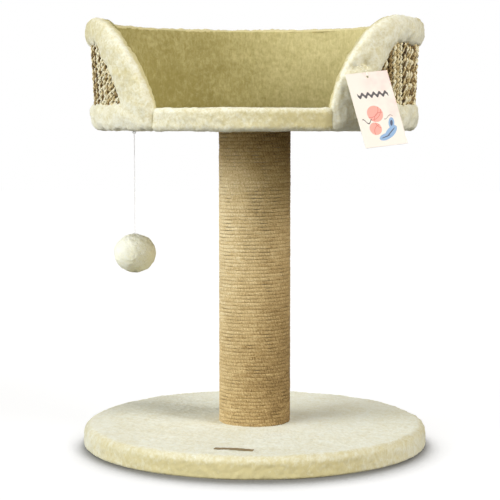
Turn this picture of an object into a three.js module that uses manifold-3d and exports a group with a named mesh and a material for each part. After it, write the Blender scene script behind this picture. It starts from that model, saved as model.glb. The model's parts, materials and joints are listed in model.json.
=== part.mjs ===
// Cat scratching post: a plush-covered round base, a rope-wound post and a round perch with a
// wrap-round wall, a plush ball that swings on a string and a card tag on a loop.
//
// Millimetres, +Z up. The origin is the centre of the base's underside and the front faces -Y.
// Angles round the wall are measured from the front (fromFront) or from the back (fromBack), in degrees.

import * as THREE from 'three';
import { mergeVertices } from 'three/addons/utils/BufferGeometryUtils.js';
import Module from 'manifold-3d';

const wasm = await Module();
wasm.setup();

// ---- Fits

const gap = 0.3; // between neighbouring pieces
const facetGap = 0.85; // between round pieces whose facets don't line up

// ---- Base

const baseRadius = 200;
const basePlush = 4.7;
const baseBoardThickness = 18;
const baseShoulder = 9;
const baseFootRound = 1.5;
const hemThickness = 1.5;
const hemWidth = 28;
const backingHoleRadius = 17;
const labelLength = 46;
const labelWidth = 10;
const labelThickness = 0.8;
const labelX = -8;
const labelFromEdge = 34.5; // from the base's front edge to the label's centre
const labelTurn = -8;

// ---- Post

const ropeLength = 341.8; // of post wound with rope, from the base's plush to the perch's
const tubeRadius = 38;
const tubeWall = 4;
const ropeThickness = 3.9;
const ropeLoops = 22;
const ropeGap = 0.5; // between neighbouring turns
const plugThickness = 18;
const insertRadius = 6;
const insertLength = 15;

// ---- Bolt, washer and stud

const threadRadius = 4;
const boltReach = 13; // into the bottom plug
const boltHeadAcross = 13; // across the hexagon's flats
const boltHeadHeight = 5.3;
const tipChamfer = 1;
const washerRadius = 14;
const washerThickness = 2;
const counterboreRadius = 16;
const counterboreDepth = 9;
const studReach = 14; // into the top plug
const barrelRadius = 5.2;
const barrelLength = 10;
const flangeRadius = 11;
const flangeThickness = 1.5;

// ---- Perch

const perchRadius = 170;
const perchPlush = 4.7;
const perchUnderlay = 2.7;
const perchBoardThickness = 15;
const perchPad = 6.3;
const perchShoulder = 5;

// ---- Wall

const wallFlare = 0.05; // outwards, for each unit of height
const wallLean = 0.085; // round to the right, for each unit of height above the perch
const liningThickness = 3.5;
const panelThickness = 3;
const matThickness = 7;
const rimHeight = 125.6; // from the perch's underside to the top of the wall's border
const armTip = 31.6; // fromFront of the arms' upright ends
const armSweep = 34; // how far the arms' tops lie further back than their ends
const armUpright = 18.4; // height of the arms' upright ends
const armCorner = 6;
const borderWrap = 4; // plush past the panel's edge
const borderTurnIn = 0.8; // by which the border's outer edge rolls in at its back
const bandCrown = 9.5; // thickness of the border at the foot of the wall
const rollCrown = 11.3; // and at the top
const windowRise = 0.65; // the border's thickness at the window, as a share of its crown
const crestAcross = 0.6; // where the crown lies, as a share of the way in from the outer edge
const shoulderRise = 0.95;
const shoulderAcross = 0.2;
const outerRise = 0.3; // at the outer edge
const windowFootHeight = 29.9; // of the straw mat's window, above the perch's underside
const windowHeight = 65.5;
const windowFront = 47.2; // fromFront of the window's lower corners
const windowSweep = 14; // how far its upper corners lie further back
const matEdgeGap = 0.5;
const frontBandCrown = 4.5; // of the strip between the arms, past the panel's outer face
const frontBandRound = 6;

const wallScrewAngles = [-120, -60, 0, 60, 120]; // fromBack
const screwHeadRadius = 3.6;
const screwHeadDepth = 2.2;
const screwRadius = 1.8;
const screwLength = 27;
const screwTipLength = 3;
const screwRecess = 0.5;

// ---- Toy

const toyFromEdge = 30.2; // from the perch's left edge
const toyForward = 12;
const stapleWire = 0.9;
const stapleCrown = 9;
const stapleLeg = 9;
const knotWireRadius = 0.6;
const stringRadius = 0.75;
const stringDrop = 119; // the string's length
const stringInBall = 4;
const ballRadius = 24.4;
const ballHeight = 46.4;
const ballCapRadius = 4;
const ballCapHeight = 2;
const ballCapWaist = 3.2;
const ballCapDroop = 0.5; // of the cap's rim

// ---- Tag

const tagWidth = 50;
const tagHeight = 84;
const tagThickness = 0.6;
const tagHoleRadius = 1.6;
const tagHoleInset = 5.4; // from the tag's top edge to the hole's centre
const tagFromFront = 41.25; // where the hole hangs
const tagHoleAbove = 56.9; // above the perch's underside
const tagStandOff = 10.155; // from the border's crown to the hole
const tagFacing = 26.3; // fromFront of the way the tag faces
const tagLean = 22.9; // its foot stands out from the wall
const tagRoll = 6.3; // its right side stands up
const tagLoopWire = 0.45;
const tagLoopFront = 2.2; // how far the loop stands in front of the tag
const tagLoopReach = 7.9; // and how far it runs in to the plush
const tagLoopSpread = 7.2; // to each side, at its two stitches
const tagLoopRise = 12.2; // of the stitches above the hole

// ---- Facets

const roundFacets = 40;
const postFacets = 24;
const smallFacets = 24;
const screwFacets = 10;
const wallColumns = 40;
const sideSteps = 12;
const panelSteps = [3, 6, 9, 11]; // of those, the ones at which the panel has a row
const matRows = 3;
const shoulderSteps = 4;
const ballFacets = 18;
const ballRows = 8;
const frontBandSteps = 10;
const frontBandRoundSteps = 3;
const stringSections = 26;
const loopSections = 30;
const loopSides = 6;

// ---- Heights that follow

const baseBoardBottom = hemThickness + gap;
const baseBoardTop = baseBoardBottom + baseBoardThickness;
const baseTop = baseBoardTop + gap + basePlush;
const perchBottom = baseTop + ropeLength;
const perchBoardBottom = perchBottom + perchUnderlay + gap;
const perchBoardTop = perchBoardBottom + perchBoardThickness;
const perchTop = perchBoardTop + gap + perchPad;
const tubeBottom = baseBoardTop + gap;
const tubeTop = perchBoardBottom - gap;
const rimTop = perchBottom + rimHeight;

const degree = Math.PI / 180;

// ---- Colours and finishes

const finish = (color, roughness, metalness = 0) =>
  new THREE.MeshStandardMaterial({ color, roughness, metalness });

const creamPlush = finish(0xe8e2cb, 0.95);
const shadedPlush = finish(0xb5a872, 0.95);
const sisal = finish(0xc4a878, 0.9);
const seagrass = finish(0xc2a671, 0.9);
const brownWeave = finish(0x8c7a55, 0.9);
const chipboard = finish(0xb99a6b, 0.8);
const birch = finish(0xd8bd8c, 0.7);
const greyboard = finish(0x9a8f80, 0.9);
const blackFelt = finish(0x2b2b2b, 0.95);
const zinc = finish(0xb8bcc0, 0.35, 1);
const elastic = finish(0xe6e4de, 0.7);
const clearNylon = finish(0xf2f2ee, 0.3);
const card = finish(0xf4ece0, 0.6);

// ---- Making closed bodies

// Faces of a closed geometry with its shared vertices merged and its needle faces dropped,
// turned to point out.
function closedBody(geometry) {
  const bare = geometry.clone();
  bare.deleteAttribute('normal');
  bare.deleteAttribute('uv');
  const merged = mergeVertices(bare, 1e-4);
  const index = merged.index.array;
  const position = merged.attributes.position;
  const kept = [];
  const [a, b, c] = [new THREE.Vector3(), new THREE.Vector3(), new THREE.Vector3()];
  let volume = 0;
  for (let i = 0; i < index.length; i += 3) {
    const face = [index[i], index[i + 1], index[i + 2]];
    if (new Set(face).size < 3) continue;
    kept.push(...face);
    a.fromBufferAttribute(position, face[0]);
    b.fromBufferAttribute(position, face[1]);
    c.fromBufferAttribute(position, face[2]);
    volume += a.dot(b.cross(c));
  }
  if (volume < 0) kept.reverse();
  merged.setIndex(kept);
  merged.computeVertexNormals();
  return merged;
}

function solid(geometry) {
  const body = closedBody(geometry);
  const vertProperties = new Float32Array(body.attributes.position.array);
  const triVerts = new Uint32Array(body.index.array);
  return new wasm.Manifold(new wasm.Mesh({ numProp: 3, vertProperties, triVerts }));
}

function geometryOf(manifold) {
  const mesh = manifold.getMesh();
  const geometry = new THREE.BufferGeometry();
  geometry.setAttribute('position', new THREE.BufferAttribute(mesh.vertProperties, 3));
  geometry.setIndex(new THREE.BufferAttribute(mesh.triVerts, 1));
  return closedBody(geometry);
}

function cut(geometry, tools) {
  return geometryOf(tools.reduce((body, tool) => body.subtract(solid(tool)), solid(geometry)));
}

function joined(...geometries) {
  return geometryOf(geometries.map(solid).reduce((body, other) => body.add(other)));
}

// A profile of [radius, height] points turned about the Z axis.
function turned(profile, facets) {
  const points = profile.map(([radius, height]) => new THREE.Vector2(radius, height));
  const geometry = new THREE.LatheGeometry(points, facets);
  geometry.rotateX(Math.PI / 2);
  return closedBody(geometry);
}

// A profile that closes on itself, such as a ring's section.
function turnedRing(profile, facets) {
  return turned([...profile, profile[0]], facets);
}

function sleeve(innerRadius, outerRadius, bottom, top, facets) {
  const section = [[innerRadius, bottom], [outerRadius, bottom], [outerRadius, top], [innerRadius, top]];
  return turnedRing(section, facets);
}

// Points along an arc of a profile, from one angle to another, ends included.
function arc(radius, height, size, from, to, steps) {
  return Array.from({ length: steps + 1 }, (_, i) => {
    const angle = (from + (to - from) * i / steps) * degree;
    return [radius + size * Math.cos(angle), height + size * Math.sin(angle)];
  });
}

function geometryFrom(points, faces) {
  const geometry = new THREE.BufferGeometry();
  geometry.setFromPoints(points);
  geometry.setIndex(faces);
  return closedBody(geometry);
}

// Two triangles for each cell between rows of equally many points. wrap closes each row on itself.
// Every cell is split along the same diagonal, so sheets laid over each other bend alike.
function bridge(faces, rowA, rowB, wrap, turnedOver = false) {
  const cells = wrap ? rowA.length : rowA.length - 1;
  for (let i = 0; i < cells; i += 1) {
    const j = (i + 1) % rowA.length;
    if (turnedOver) faces.push(rowA[i], rowB[j], rowB[i], rowA[i], rowA[j], rowB[j]);
    else faces.push(rowA[i], rowB[i], rowB[j], rowA[i], rowB[j], rowA[j]);
  }
}

// Sections of equally many points, one after another, each joined to the next and the ends closed.
function loft(points, sides) {
  const rows = Array.from({ length: points.length / sides },
    (_, i) => Array.from({ length: sides }, (_, k) => i * sides + k));
  const faces = [];
  for (let i = 1; i < rows.length; i += 1) bridge(faces, rows[i - 1], rows[i], true);
  const cap = (row) => {
    for (let k = 2; k < sides; k += 1) faces.push(row[0], row[k - 1], row[k]);
  };
  cap(rows[0]);
  cap([...rows.at(-1)].reverse());
  return geometryFrom(points, faces);
}

// ---- Base

function baseBoard() {
  const shoulder = baseBoardBottom + counterboreDepth;
  const boardRadius = baseRadius - basePlush - gap;
  return turnedRing([
    [counterboreRadius, baseBoardBottom],
    [boardRadius, baseBoardBottom],
    [boardRadius, baseBoardTop],
    [threadRadius + gap, baseBoardTop],
    [threadRadius + gap, shoulder],
    [counterboreRadius, shoulder],
  ], roundFacets);
}

function baseCover() {
  const inside = baseRadius - basePlush;
  const hemInner = baseRadius - hemWidth;
  const hole = tubeRadius + gap;
  return turnedRing([
    [hole, baseTop],
    ...arc(baseRadius - baseShoulder, baseTop - baseShoulder, baseShoulder, 90, 0, shoulderSteps),
    [baseRadius, baseFootRound],
    [baseRadius - baseFootRound, 0],
    [hemInner, 0],
    [hemInner, hemThickness],
    [inside, hemThickness],
    [inside, baseBoardTop + gap],
    [hole, baseBoardTop + gap],
  ], roundFacets);
}

function baseBacking() {
  return sleeve(backingHoleRadius, baseRadius - hemWidth - gap, 0, hemThickness, roundFacets);
}

function baseLabel() {
  return closedBody(new THREE.BoxGeometry(labelLength, labelWidth, labelThickness));
}

// ---- Post

function plug(bottom) {
  return sleeve(insertRadius + gap, tubeRadius - tubeWall - gap, bottom, bottom + plugThickness, postFacets);
}

function insert(bottom) {
  return sleeve(threadRadius + gap, insertRadius, bottom, bottom + insertLength, smallFacets);
}

function baseBolt() {
  const headTop = baseBoardBottom + counterboreDepth - gap - washerThickness - gap;
  const headBottom = headTop - boltHeadHeight;
  const tip = tubeBottom + boltReach;
  const headMiddle = (headTop + headBottom) / 2;
  const shank = turned([
    [0, headMiddle],
    [threadRadius, headMiddle],
    [threadRadius, tip - tipChamfer],
    [threadRadius - tipChamfer, tip],
    [0, tip],
  ], smallFacets);
  const cornerRadius = boltHeadAcross / 2 / Math.cos(30 * degree);
  const head = new THREE.CylinderGeometry(cornerRadius, cornerRadius, boltHeadHeight, 6);
  head.rotateX(Math.PI / 2);
  head.translate(0, 0, headMiddle);
  return joined(shank, head);
}

function baseWasher() {
  const top = baseBoardBottom + counterboreDepth - gap;
  return sleeve(threadRadius + gap, washerRadius, top - washerThickness, top, smallFacets);
}

// One unbroken flat-sided tube wound round the core. Its two ends run straight for one thickness.
function sisalRope() {
  const inner = tubeRadius + gap;
  const middle = inner + ropeThickness / 2;
  const endTurn = ropeThickness / (2 * Math.PI * middle);
  const height = ropeLength - 2 * gap;
  const pitch = (height + ropeGap) / (ropeLoops + 1 + 2 * endTurn);
  const width = pitch - ropeGap;
  const section = [
    [0, width / 2],
    [ropeThickness / 2, width / 3],
    [ropeThickness / 2, -width / 3],
    [0, -width / 2],
    [-ropeThickness / 2, -width / 3],
    [-ropeThickness / 2, width / 3],
  ];
  const start = baseTop + gap + width / 2 + endTurn * pitch;
  const steps = ropeLoops * postFacets;
  const points = [];
  const addSection = (turns, along) => {
    const angle = turns * 2 * Math.PI;
    const out = new THREE.Vector3(Math.sin(angle), -Math.cos(angle), 0);
    const tangent = new THREE.Vector3(Math.cos(angle), Math.sin(angle), 0);
    for (const [outwards, upwards] of section) {
      const point = out.clone().multiplyScalar(middle + outwards).addScaledVector(tangent, along);
      point.z = start + (turns + Math.sign(along) * endTurn) * pitch + upwards;
      points.push(point);
    }
  };
  addSection(0, -ropeThickness);
  for (let i = 0; i <= steps; i += 1) addSection(i / postFacets, 0);
  addSection(ropeLoops, ropeThickness);

  console.log(`sisal_rope: least gap to itself ${leastLoopGap(points, section.length).toFixed(2)} mm`);
  return loft(points, section.length);
}

// Least distance between the points of neighbouring turns, a full turn apart.
function leastLoopGap(points, sides) {
  let least = Infinity;
  const stride = postFacets * sides;
  for (let i = 0; i + stride < points.length; i += 1) {
    const first = Math.max(0, i + stride - 2 * sides);
    const last = Math.min(points.length, i + stride + 2 * sides);
    for (let j = first; j < last; j += 1) least = Math.min(least, points[i].distanceTo(points[j]));
  }
  return least;
}

function topStud() {
  return turned([
    [0, tubeTop - studReach],
    [threadRadius, tubeTop - studReach],
    [threadRadius, perchBoardTop - flangeThickness - gap],
    [0, perchBoardTop - flangeThickness - gap],
  ], smallFacets);
}

// ---- Perch

function perchTNut() {
  const flangeTop = perchBoardTop - gap;
  const flangeBottom = flangeTop - flangeThickness;
  return turnedRing([
    [threadRadius + gap, flangeBottom - barrelLength],
    [barrelRadius, flangeBottom - barrelLength],
    [barrelRadius, flangeBottom],
    [flangeRadius, flangeBottom],
    [flangeRadius, flangeTop],
    [threadRadius + gap, flangeTop],
  ], smallFacets);
}

function perchBoard() {
  const boardRadius = perchRadius - perchPlush - gap;
  const recess = perchBoardTop - flangeThickness - 2 * gap;
  const disc = turnedRing([
    [barrelRadius + gap, perchBoardBottom],
    [boardRadius, perchBoardBottom],
    [boardRadius, perchBoardTop],
    [flangeRadius + gap, perchBoardTop],
    [flangeRadius + gap, recess],
    [barrelRadius + gap, recess],
  ], roundFacets);
  return cut(disc, [...screwCutters(), ...stapleCutters()]);
}

function perchCover() {
  const inside = perchRadius - perchPlush;
  const hole = tubeRadius + gap;
  const shell = turned([
    [0, perchTop],
    ...arc(perchRadius - perchShoulder, perchTop - perchShoulder, perchShoulder, 90, 0, shoulderSteps),
    ...arc(perchRadius - perchShoulder, perchBottom + perchShoulder, perchShoulder, 0, -90, shoulderSteps),
    [hole, perchBottom],
    [hole, perchBoardBottom - gap],
    [inside, perchBoardBottom - gap],
    [inside, perchBoardTop + gap],
    [0, perchBoardTop + gap],
  ], roundFacets);
  return cut(shell, [...screwCutters(), ...stapleCutters()]);
}

// ---- Wall

// Radii of the wall's layers at the height of the perch's underside.
const liningInner = perchRadius + facetGap;
const panelInner = liningInner + liningThickness + gap;
const panelOuter = panelInner + panelThickness;
const matInner = panelOuter + facetGap;

// The wall is laid out flat: x is the distance round from the back at this radius, y is the height.
const layoutRadius = 184;
const roundFrom = (fromFront) => (180 - fromFront) * degree * layoutRadius;

function onWall(flat, footRadius) {
  const fromBack = (flat.x + wallLean * Math.max(0, flat.y - perchTop)) / layoutRadius;
  const radius = footRadius + wallFlare * (flat.y - perchBottom);
  return new THREE.Vector3(radius * Math.sin(fromBack), radius * Math.cos(fromBack), flat.y);
}

// The arm's sloping edge, from the top of its upright end (0) to the rim (1).
function armEdge(along) {
  const turn = along * Math.PI / 2;
  const curveFoot = perchBottom + armUpright;
  const height = curveFoot + (rimTop - curveFoot) * Math.sin(turn) ** (4 / 3);
  return new THREE.Vector2(roundFrom(armTip + armSweep * (1 - Math.cos(turn))), height);
}

// The window's front edge, from its foot (0) to its top (1).
function windowEdge(along) {
  const height = perchBottom + windowFootHeight + windowHeight * along;
  return new THREE.Vector2(roundFrom(windowFront + windowSweep * along ** 1.5), height);
}

const mirrored = (flat) => new THREE.Vector2(-flat.x, flat.y);

// Right-hand edge of the wall between the bottom run and the top run: a rounded corner, then the arm.
function armStations() {
  const corner = [30, 60, 90].map((angle) => new THREE.Vector2(
    roundFrom(armTip) - armCorner + armCorner * Math.sin(angle * degree),
    perchBottom + armCorner - armCorner * Math.cos(angle * degree),
  ));
  const slopes = sideSteps - 1 - corner.length;
  const slope = Array.from({ length: slopes }, (_, i) => armEdge(i / slopes));
  return [...corner, ...slope].map((outer, i) => ({ outer, inner: windowEdge((i + 1) / sideSteps) }));
}

// Stations round the border: a point on its outer edge with one on the window's edge.
function borderStations() {
  const right = armStations();
  const left = right.map(({ outer, inner }) => ({ outer: mirrored(outer), inner: mirrored(inner) }));
  left.reverse();
  const run = (outer, inner, sense) => Array.from({ length: wallColumns + 1 }, (_, i) => {
    const share = sense * (2 * i / wallColumns - 1);
    return {
      outer: new THREE.Vector2(share * outer.x, outer.y),
      inner: new THREE.Vector2(share * inner.x, inner.y),
    };
  });
  const foot = new THREE.Vector2(roundFrom(armTip) - armCorner, perchBottom);
  const stations = [
    ...run(foot, windowEdge(0), 1),
    ...right,
    ...run(armEdge(1), windowEdge(1), -1),
    ...left,
  ];
  stations.forEach((station, i) => {
    const before = stations[(i + stations.length - 1) % stations.length].outer;
    const after = stations[(i + 1) % stations.length].outer;
    const along = after.clone().sub(before).normalize();
    station.out = new THREE.Vector2(along.y, -along.x);
  });
  return stations;
}

const inset = (station, distance) => station.outer.clone().addScaledVector(station.out, -distance);

// Padded frame of plush round the window, wrapped over the edges of the panel and its lining.
function wallBorder() {
  const depth = matInner - liningInner;
  const rows = [];
  const points = [];
  for (const station of borderStations()) {
    const rise = (station.inner.y - perchBottom) / rimHeight;
    const crown = bandCrown + (rollCrown - bandCrown) * rise;
    const across = (share) => station.outer.clone().lerp(station.inner, share);
    const section = [
      onWall(station.inner, matInner),
      onWall(station.inner, matInner + windowRise * crown),
      onWall(across(crestAcross), matInner + crown),
      onWall(across(shoulderAcross), matInner + shoulderRise * crown),
      onWall(station.outer, matInner + outerRise * crown),
      onWall(inset(station, borderTurnIn), matInner - depth),
      onWall(inset(station, borderWrap), matInner - depth),
      onWall(inset(station, borderWrap), matInner),
      onWall(across(1 / 3), matInner),
      onWall(across(2 / 3), matInner),
    ];
    rows.push(section.map((_, k) => points.length + k));
    points.push(...section);
  }
  const faces = [];
  rows.forEach((row, i) => bridge(faces, row, rows[(i + 1) % rows.length], true));
  return geometryFrom(points, faces);
}

// A bent sheet between two radii. Its rows run level round the wall between the given right-hand
// edge points and their mirror images.
function bentSheet(edge, innerRadius, outerRadius) {
  const points = [];
  const sheet = (footRadius) => edge.map((flat) => Array.from({ length: wallColumns + 1 }, (_, i) => {
    points.push(onWall(new THREE.Vector2(flat.x * (2 * i / wallColumns - 1), flat.y), footRadius));
    return points.length - 1;
  }));
  const inside = sheet(innerRadius);
  const outside = sheet(outerRadius);
  const faces = [];
  for (let k = 1; k < edge.length; k += 1) {
    bridge(faces, outside[k - 1], outside[k], false);
    bridge(faces, inside[k - 1], inside[k], false, true);
  }
  const rim = (rows) => [
    ...rows[0],
    ...rows.slice(1, -1).map((row) => row.at(-1)),
    ...[...rows.at(-1)].reverse(),
    ...rows.slice(1, -1).map((row) => row[0]).reverse(),
  ];
  bridge(faces, rim(inside), rim(outside), true);
  return geometryFrom(points, faces);
}

// The edge that the panel and its lining share, inside the border's wrap.
function panelEdge() {
  const stations = borderStations();
  const footEnd = wallColumns;
  const topEnd = footEnd + sideSteps;
  const between = panelSteps.map((step) => footEnd + step);
  return [footEnd, ...between, topEnd].map((i) => {
    const flat = inset(stations[i], borderWrap + gap);
    if (i === footEnd) flat.y = perchBottom + borderWrap + gap;
    if (i === topEnd) flat.y = rimTop - borderWrap - gap;
    return flat;
  });
}

function wallPanel() {
  return cut(bentSheet(panelEdge(), panelInner, panelOuter), screwCutters());
}

function wallLining() {
  return cut(bentSheet(panelEdge(), liningInner, liningInner + liningThickness), screwCutters());
}

function seagrassMat() {
  const edge = Array.from({ length: matRows + 1 }, (_, i) => {
    const flat = windowEdge(i / matRows);
    flat.x -= matEdgeGap;
    if (i === 0) flat.y += matEdgeGap;
    if (i === matRows) flat.y -= matEdgeGap;
    return flat;
  });
  return bentSheet(edge, matInner, matInner + matThickness);
}

// Padded strip round the perch's edge from one arm's foot to the other's.
function frontBand() {
  const round = (centreHeight, from, to) => arc(
    matInner + frontBandCrown - frontBandRound, centreHeight, frontBandRound, from, to, frontBandRoundSteps);
  const section = [
    [liningInner, perchBottom],
    ...round(perchBottom + frontBandRound, -90, 0),
    ...round(perchTop - frontBandRound, 0, 90),
    [liningInner, perchTop],
  ];
  const reach = armTip * degree - gap / liningInner;
  const points = [];
  for (let i = 0; i <= frontBandSteps; i += 1) {
    const angle = reach * (2 * i / frontBandSteps - 1);
    for (const [radius, height] of section) {
      points.push(new THREE.Vector3(radius * Math.sin(angle), -radius * Math.cos(angle), height));
    }
  }
  return loft(points, section.length);
}

// ---- Wall screws: the head sits in the panel, the tip in the perch board's edge

// A screw, or with a clearance the hole for it. The axis points outwards along +X from the head.
function screwAlongX(clearance) {
  const mouth = clearance > 0 ? panelThickness + facetGap : 0;
  const head = screwHeadRadius + clearance;
  const shank = screwRadius + clearance;
  const profile = [
    [0, mouth],
    [head, mouth],
    [head, 0],
    [shank, -screwHeadDepth],
    [shank, screwTipLength - screwLength],
    [0, -screwLength - clearance],
  ];
  const geometry = turned(mouth > 0 ? profile : profile.filter((_, i) => i !== 1), screwFacets);
  geometry.rotateY(Math.PI / 2);
  return geometry;
}

function placedOnPanel(geometry, fromBack) {
  const height = (perchBoardBottom + perchBoardTop) / 2;
  const radius = panelOuter + wallFlare * (height - perchBottom) - screwRecess;
  geometry.translate(radius, 0, height);
  geometry.rotateZ((90 - fromBack) * degree);
  return geometry;
}

function screwCutters() {
  return wallScrewAngles.map((fromBack) => placedOnPanel(screwAlongX(gap), fromBack));
}

// ---- Toy

const knotRadius = stapleWire * Math.SQRT1_2 + gap + knotWireRadius;
const crownHeight = perchBottom - gap - knotWireRadius - knotRadius;
const stringTop = crownHeight - knotRadius - knotWireRadius - gap;
const ballTop = stringTop - stringDrop + stringInBall;

function toyStaple() {
  const half = stapleCrown / 2;
  const outline = new THREE.Shape([
    new THREE.Vector2(-half, -stapleWire / 2),
    new THREE.Vector2(half, -stapleWire / 2),
    new THREE.Vector2(half, stapleLeg),
    new THREE.Vector2(half - stapleWire, stapleLeg),
    new THREE.Vector2(half - stapleWire, stapleWire / 2),
    new THREE.Vector2(stapleWire - half, stapleWire / 2),
    new THREE.Vector2(stapleWire - half, stapleLeg),
    new THREE.Vector2(-half, stapleLeg),
  ]);
  const geometry = new THREE.ExtrudeGeometry(outline, { depth: stapleWire, bevelEnabled: false });
  geometry.translate(0, 0, -stapleWire / 2);
  geometry.rotateX(Math.PI / 2);
  geometry.rotateZ(Math.PI / 2);
  return closedBody(geometry);
}

function stapleCutters() {
  const side = stapleWire + 2 * gap;
  const reach = crownHeight + stapleLeg + gap;
  const overrun = 1;
  return [-1, 1].map((sense) => {
    const slot = new THREE.BoxGeometry(side, side, reach - perchBottom + overrun);
    const offset = sense * (stapleCrown - stapleWire) / 2;
    slot.translate(toyFromEdge - perchRadius, offset - toyForward, (reach + perchBottom - overrun) / 2);
    return slot;
  });
}

function toyKnot() {
  const geometry = new THREE.TorusGeometry(knotRadius, knotWireRadius, 6, 16);
  geometry.rotateX(Math.PI / 2);
  return closedBody(geometry);
}

function toyString() {
  const route = new THREE.LineCurve3(new THREE.Vector3(0, 0, 0), new THREE.Vector3(0, 0, -stringDrop));
  const section = new THREE.Shape();
  section.absarc(0, 0, stringRadius, 0, 2 * Math.PI);
  return closedBody(new THREE.ExtrudeGeometry(section, {
    extrudePath: route,
    steps: stringSections,
    curveSegments: 4,
  }));
}

// A ball with a small gathered cap on top, which has a hole for the string.
function pompom() {
  const hole = stringRadius + gap;
  const shoulder = -ballCapHeight;
  const half = (ballHeight - ballCapHeight) / 2;
  const round = Array.from({ length: ballRows }, (_, i) => {
    const angle = Math.PI * (i + 1) / (ballRows + 1);
    return [ballRadius * Math.sin(angle), shoulder - half + half * Math.cos(angle)];
  });
  return turned([
    [0, -stringInBall - gap],
    [hole, -stringInBall - gap],
    [hole, 0],
    [ballCapRadius, -ballCapDroop],
    [ballCapWaist, shoulder],
    ...round,
    [0, shoulder - 2 * half],
  ], ballFacets);
}

// ---- Tag

function hangTag() {
  const outline = new THREE.Shape();
  const half = tagWidth / 2;
  outline.moveTo(-half, tagHoleInset - tagHeight);
  outline.lineTo(half, tagHoleInset - tagHeight);
  outline.lineTo(half, tagHoleInset);
  outline.lineTo(-half, tagHoleInset);
  const hole = new THREE.Path();
  hole.absarc(0, 0, tagHoleRadius, 0, 2 * Math.PI, true);
  outline.holes.push(hole);
  const sheet = { depth: tagThickness, bevelEnabled: false, curveSegments: 6 };
  const geometry = new THREE.ExtrudeGeometry(outline, sheet);
  geometry.translate(0, 0, -tagThickness / 2);
  geometry.rotateX(Math.PI / 2);
  return closedBody(geometry);
}

// The loop in its own frame: the tag's hole is at the origin, +Y points in towards the wall. It starts
// at the hole's front, goes up and in to the left stitch, across to the right one and back to the hole.
const tagLoopRoute = [
  [0, -tagLoopFront, tagHoleRadius / 2],
  [-tagLoopSpread / 2, -tagLoopFront / 4, 0.6 * tagLoopRise],
  [-tagLoopSpread, tagLoopReach, tagLoopRise],
  [0, tagLoopReach, tagLoopRise],
  [tagLoopSpread, tagLoopReach, tagLoopRise],
  [tagLoopSpread / 2, 0.8 * tagLoopReach, 0.45 * tagLoopRise],
  [0, 1.3 * tagLoopFront, -tagHoleRadius / 2],
];

function tagLoop() {
  const points = tagLoopRoute.map(([x, y, z]) => new THREE.Vector3(x, y, z));
  const route = new THREE.CatmullRomCurve3(points, true, 'centripetal');
  const frames = route.computeFrenetFrames(loopSections, true);
  const rows = [];
  const vertices = [];
  for (let i = 0; i < loopSections; i += 1) {
    const centre = route.getPointAt(i / loopSections);
    rows.push(Array.from({ length: loopSides }, (_, k) => {
      const angle = k * 2 * Math.PI / loopSides;
      const vertex = centre.clone();
      vertex.addScaledVector(frames.normals[i], tagLoopWire * Math.cos(angle));
      vertex.addScaledVector(frames.binormals[i], tagLoopWire * Math.sin(angle));
      vertices.push(vertex);
      return vertices.length - 1;
    }));
  }
  const faces = [];
  rows.forEach((row, i) => bridge(faces, row, rows[(i + 1) % rows.length], true));
  return geometryFrom(vertices, faces);
}

// ---- Assembly

function mesh(name, geometry, material) {
  const node = new THREE.Mesh(geometry, material);
  node.name = name;
  return node;
}

function baseGroup() {
  const label = mesh('base_label', baseLabel(), brownWeave);
  label.position.set(labelX, labelFromEdge - baseRadius, baseTop + gap + labelThickness / 2);
  label.rotation.z = labelTurn * degree;
  return new THREE.Group().add(
    mesh('base_board', baseBoard(), chipboard),
    mesh('base_cover', baseCover(), creamPlush),
    mesh('base_backing', baseBacking(), blackFelt),
    mesh('base_bolt', baseBolt(), zinc),
    mesh('base_washer', baseWasher(), zinc),
    label,
  );
}

function postGroup() {
  const tube = sleeve(tubeRadius - tubeWall, tubeRadius, tubeBottom, tubeTop, postFacets);
  return new THREE.Group().add(
    mesh('post_tube', tube, greyboard),
    mesh('bottom_plug', plug(tubeBottom), birch),
    mesh('top_plug', plug(tubeTop - plugThickness), birch),
    mesh('bottom_insert', insert(tubeBottom), zinc),
    mesh('top_insert', insert(tubeTop - insertLength), zinc),
    mesh('sisal_rope', sisalRope(), sisal),
    mesh('top_stud', topStud(), zinc),
  );
}

function perchGroup() {
  const screws = wallScrewAngles.map((fromBack, i) =>
    mesh(`wall_screw_${i + 1}`, placedOnPanel(screwAlongX(0), fromBack), zinc));
  return new THREE.Group().add(
    mesh('perch_t_nut', perchTNut(), zinc),
    mesh('perch_board', perchBoard(), chipboard),
    mesh('perch_cover', perchCover(), creamPlush),
    mesh('wall_panel', wallPanel(), greyboard),
    mesh('wall_lining', wallLining(), shadedPlush),
    mesh('seagrass_mat', seagrassMat(), seagrass),
    mesh('wall_border', wallBorder(), creamPlush),
    mesh('front_band', frontBand(), creamPlush),
    ...screws,
  );
}

function toyGroup() {
  const group = new THREE.Group();
  group.position.set(toyFromEdge - perchRadius, -toyForward, crownHeight);
  const string = mesh('toy_string', toyString(), elastic);
  string.position.z = stringTop - crownHeight;
  const ball = mesh('pompom', pompom(), creamPlush);
  ball.position.z = ballTop - crownHeight;
  return group.add(
    mesh('toy_staple', toyStaple(), zinc),
    mesh('toy_knot', toyKnot(), elastic),
    string,
    ball,
  );
}

function tagGroup() {
  const group = new THREE.Group();
  const fromFront = tagFromFront * degree;
  const radius = matInner + wallFlare * tagHoleAbove + bandCrown + tagStandOff;
  const place = [radius * Math.sin(fromFront), -radius * Math.cos(fromFront), perchBottom + tagHoleAbove];
  group.position.set(...place);
  const loop = mesh('tag_loop', tagLoop(), clearNylon);
  loop.rotation.z = fromFront;
  const tag = mesh('hang_tag', hangTag(), card);
  tag.rotation.set(-tagLean * degree, -tagRoll * degree, tagFacing * degree, 'ZXY');
  return group.add(loop, tag);
}

const scratchingPost = new THREE.Group();
scratchingPost.add(baseGroup(), postGroup(), perchGroup(), toyGroup(), tagGroup());

export default scratchingPost;
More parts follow.
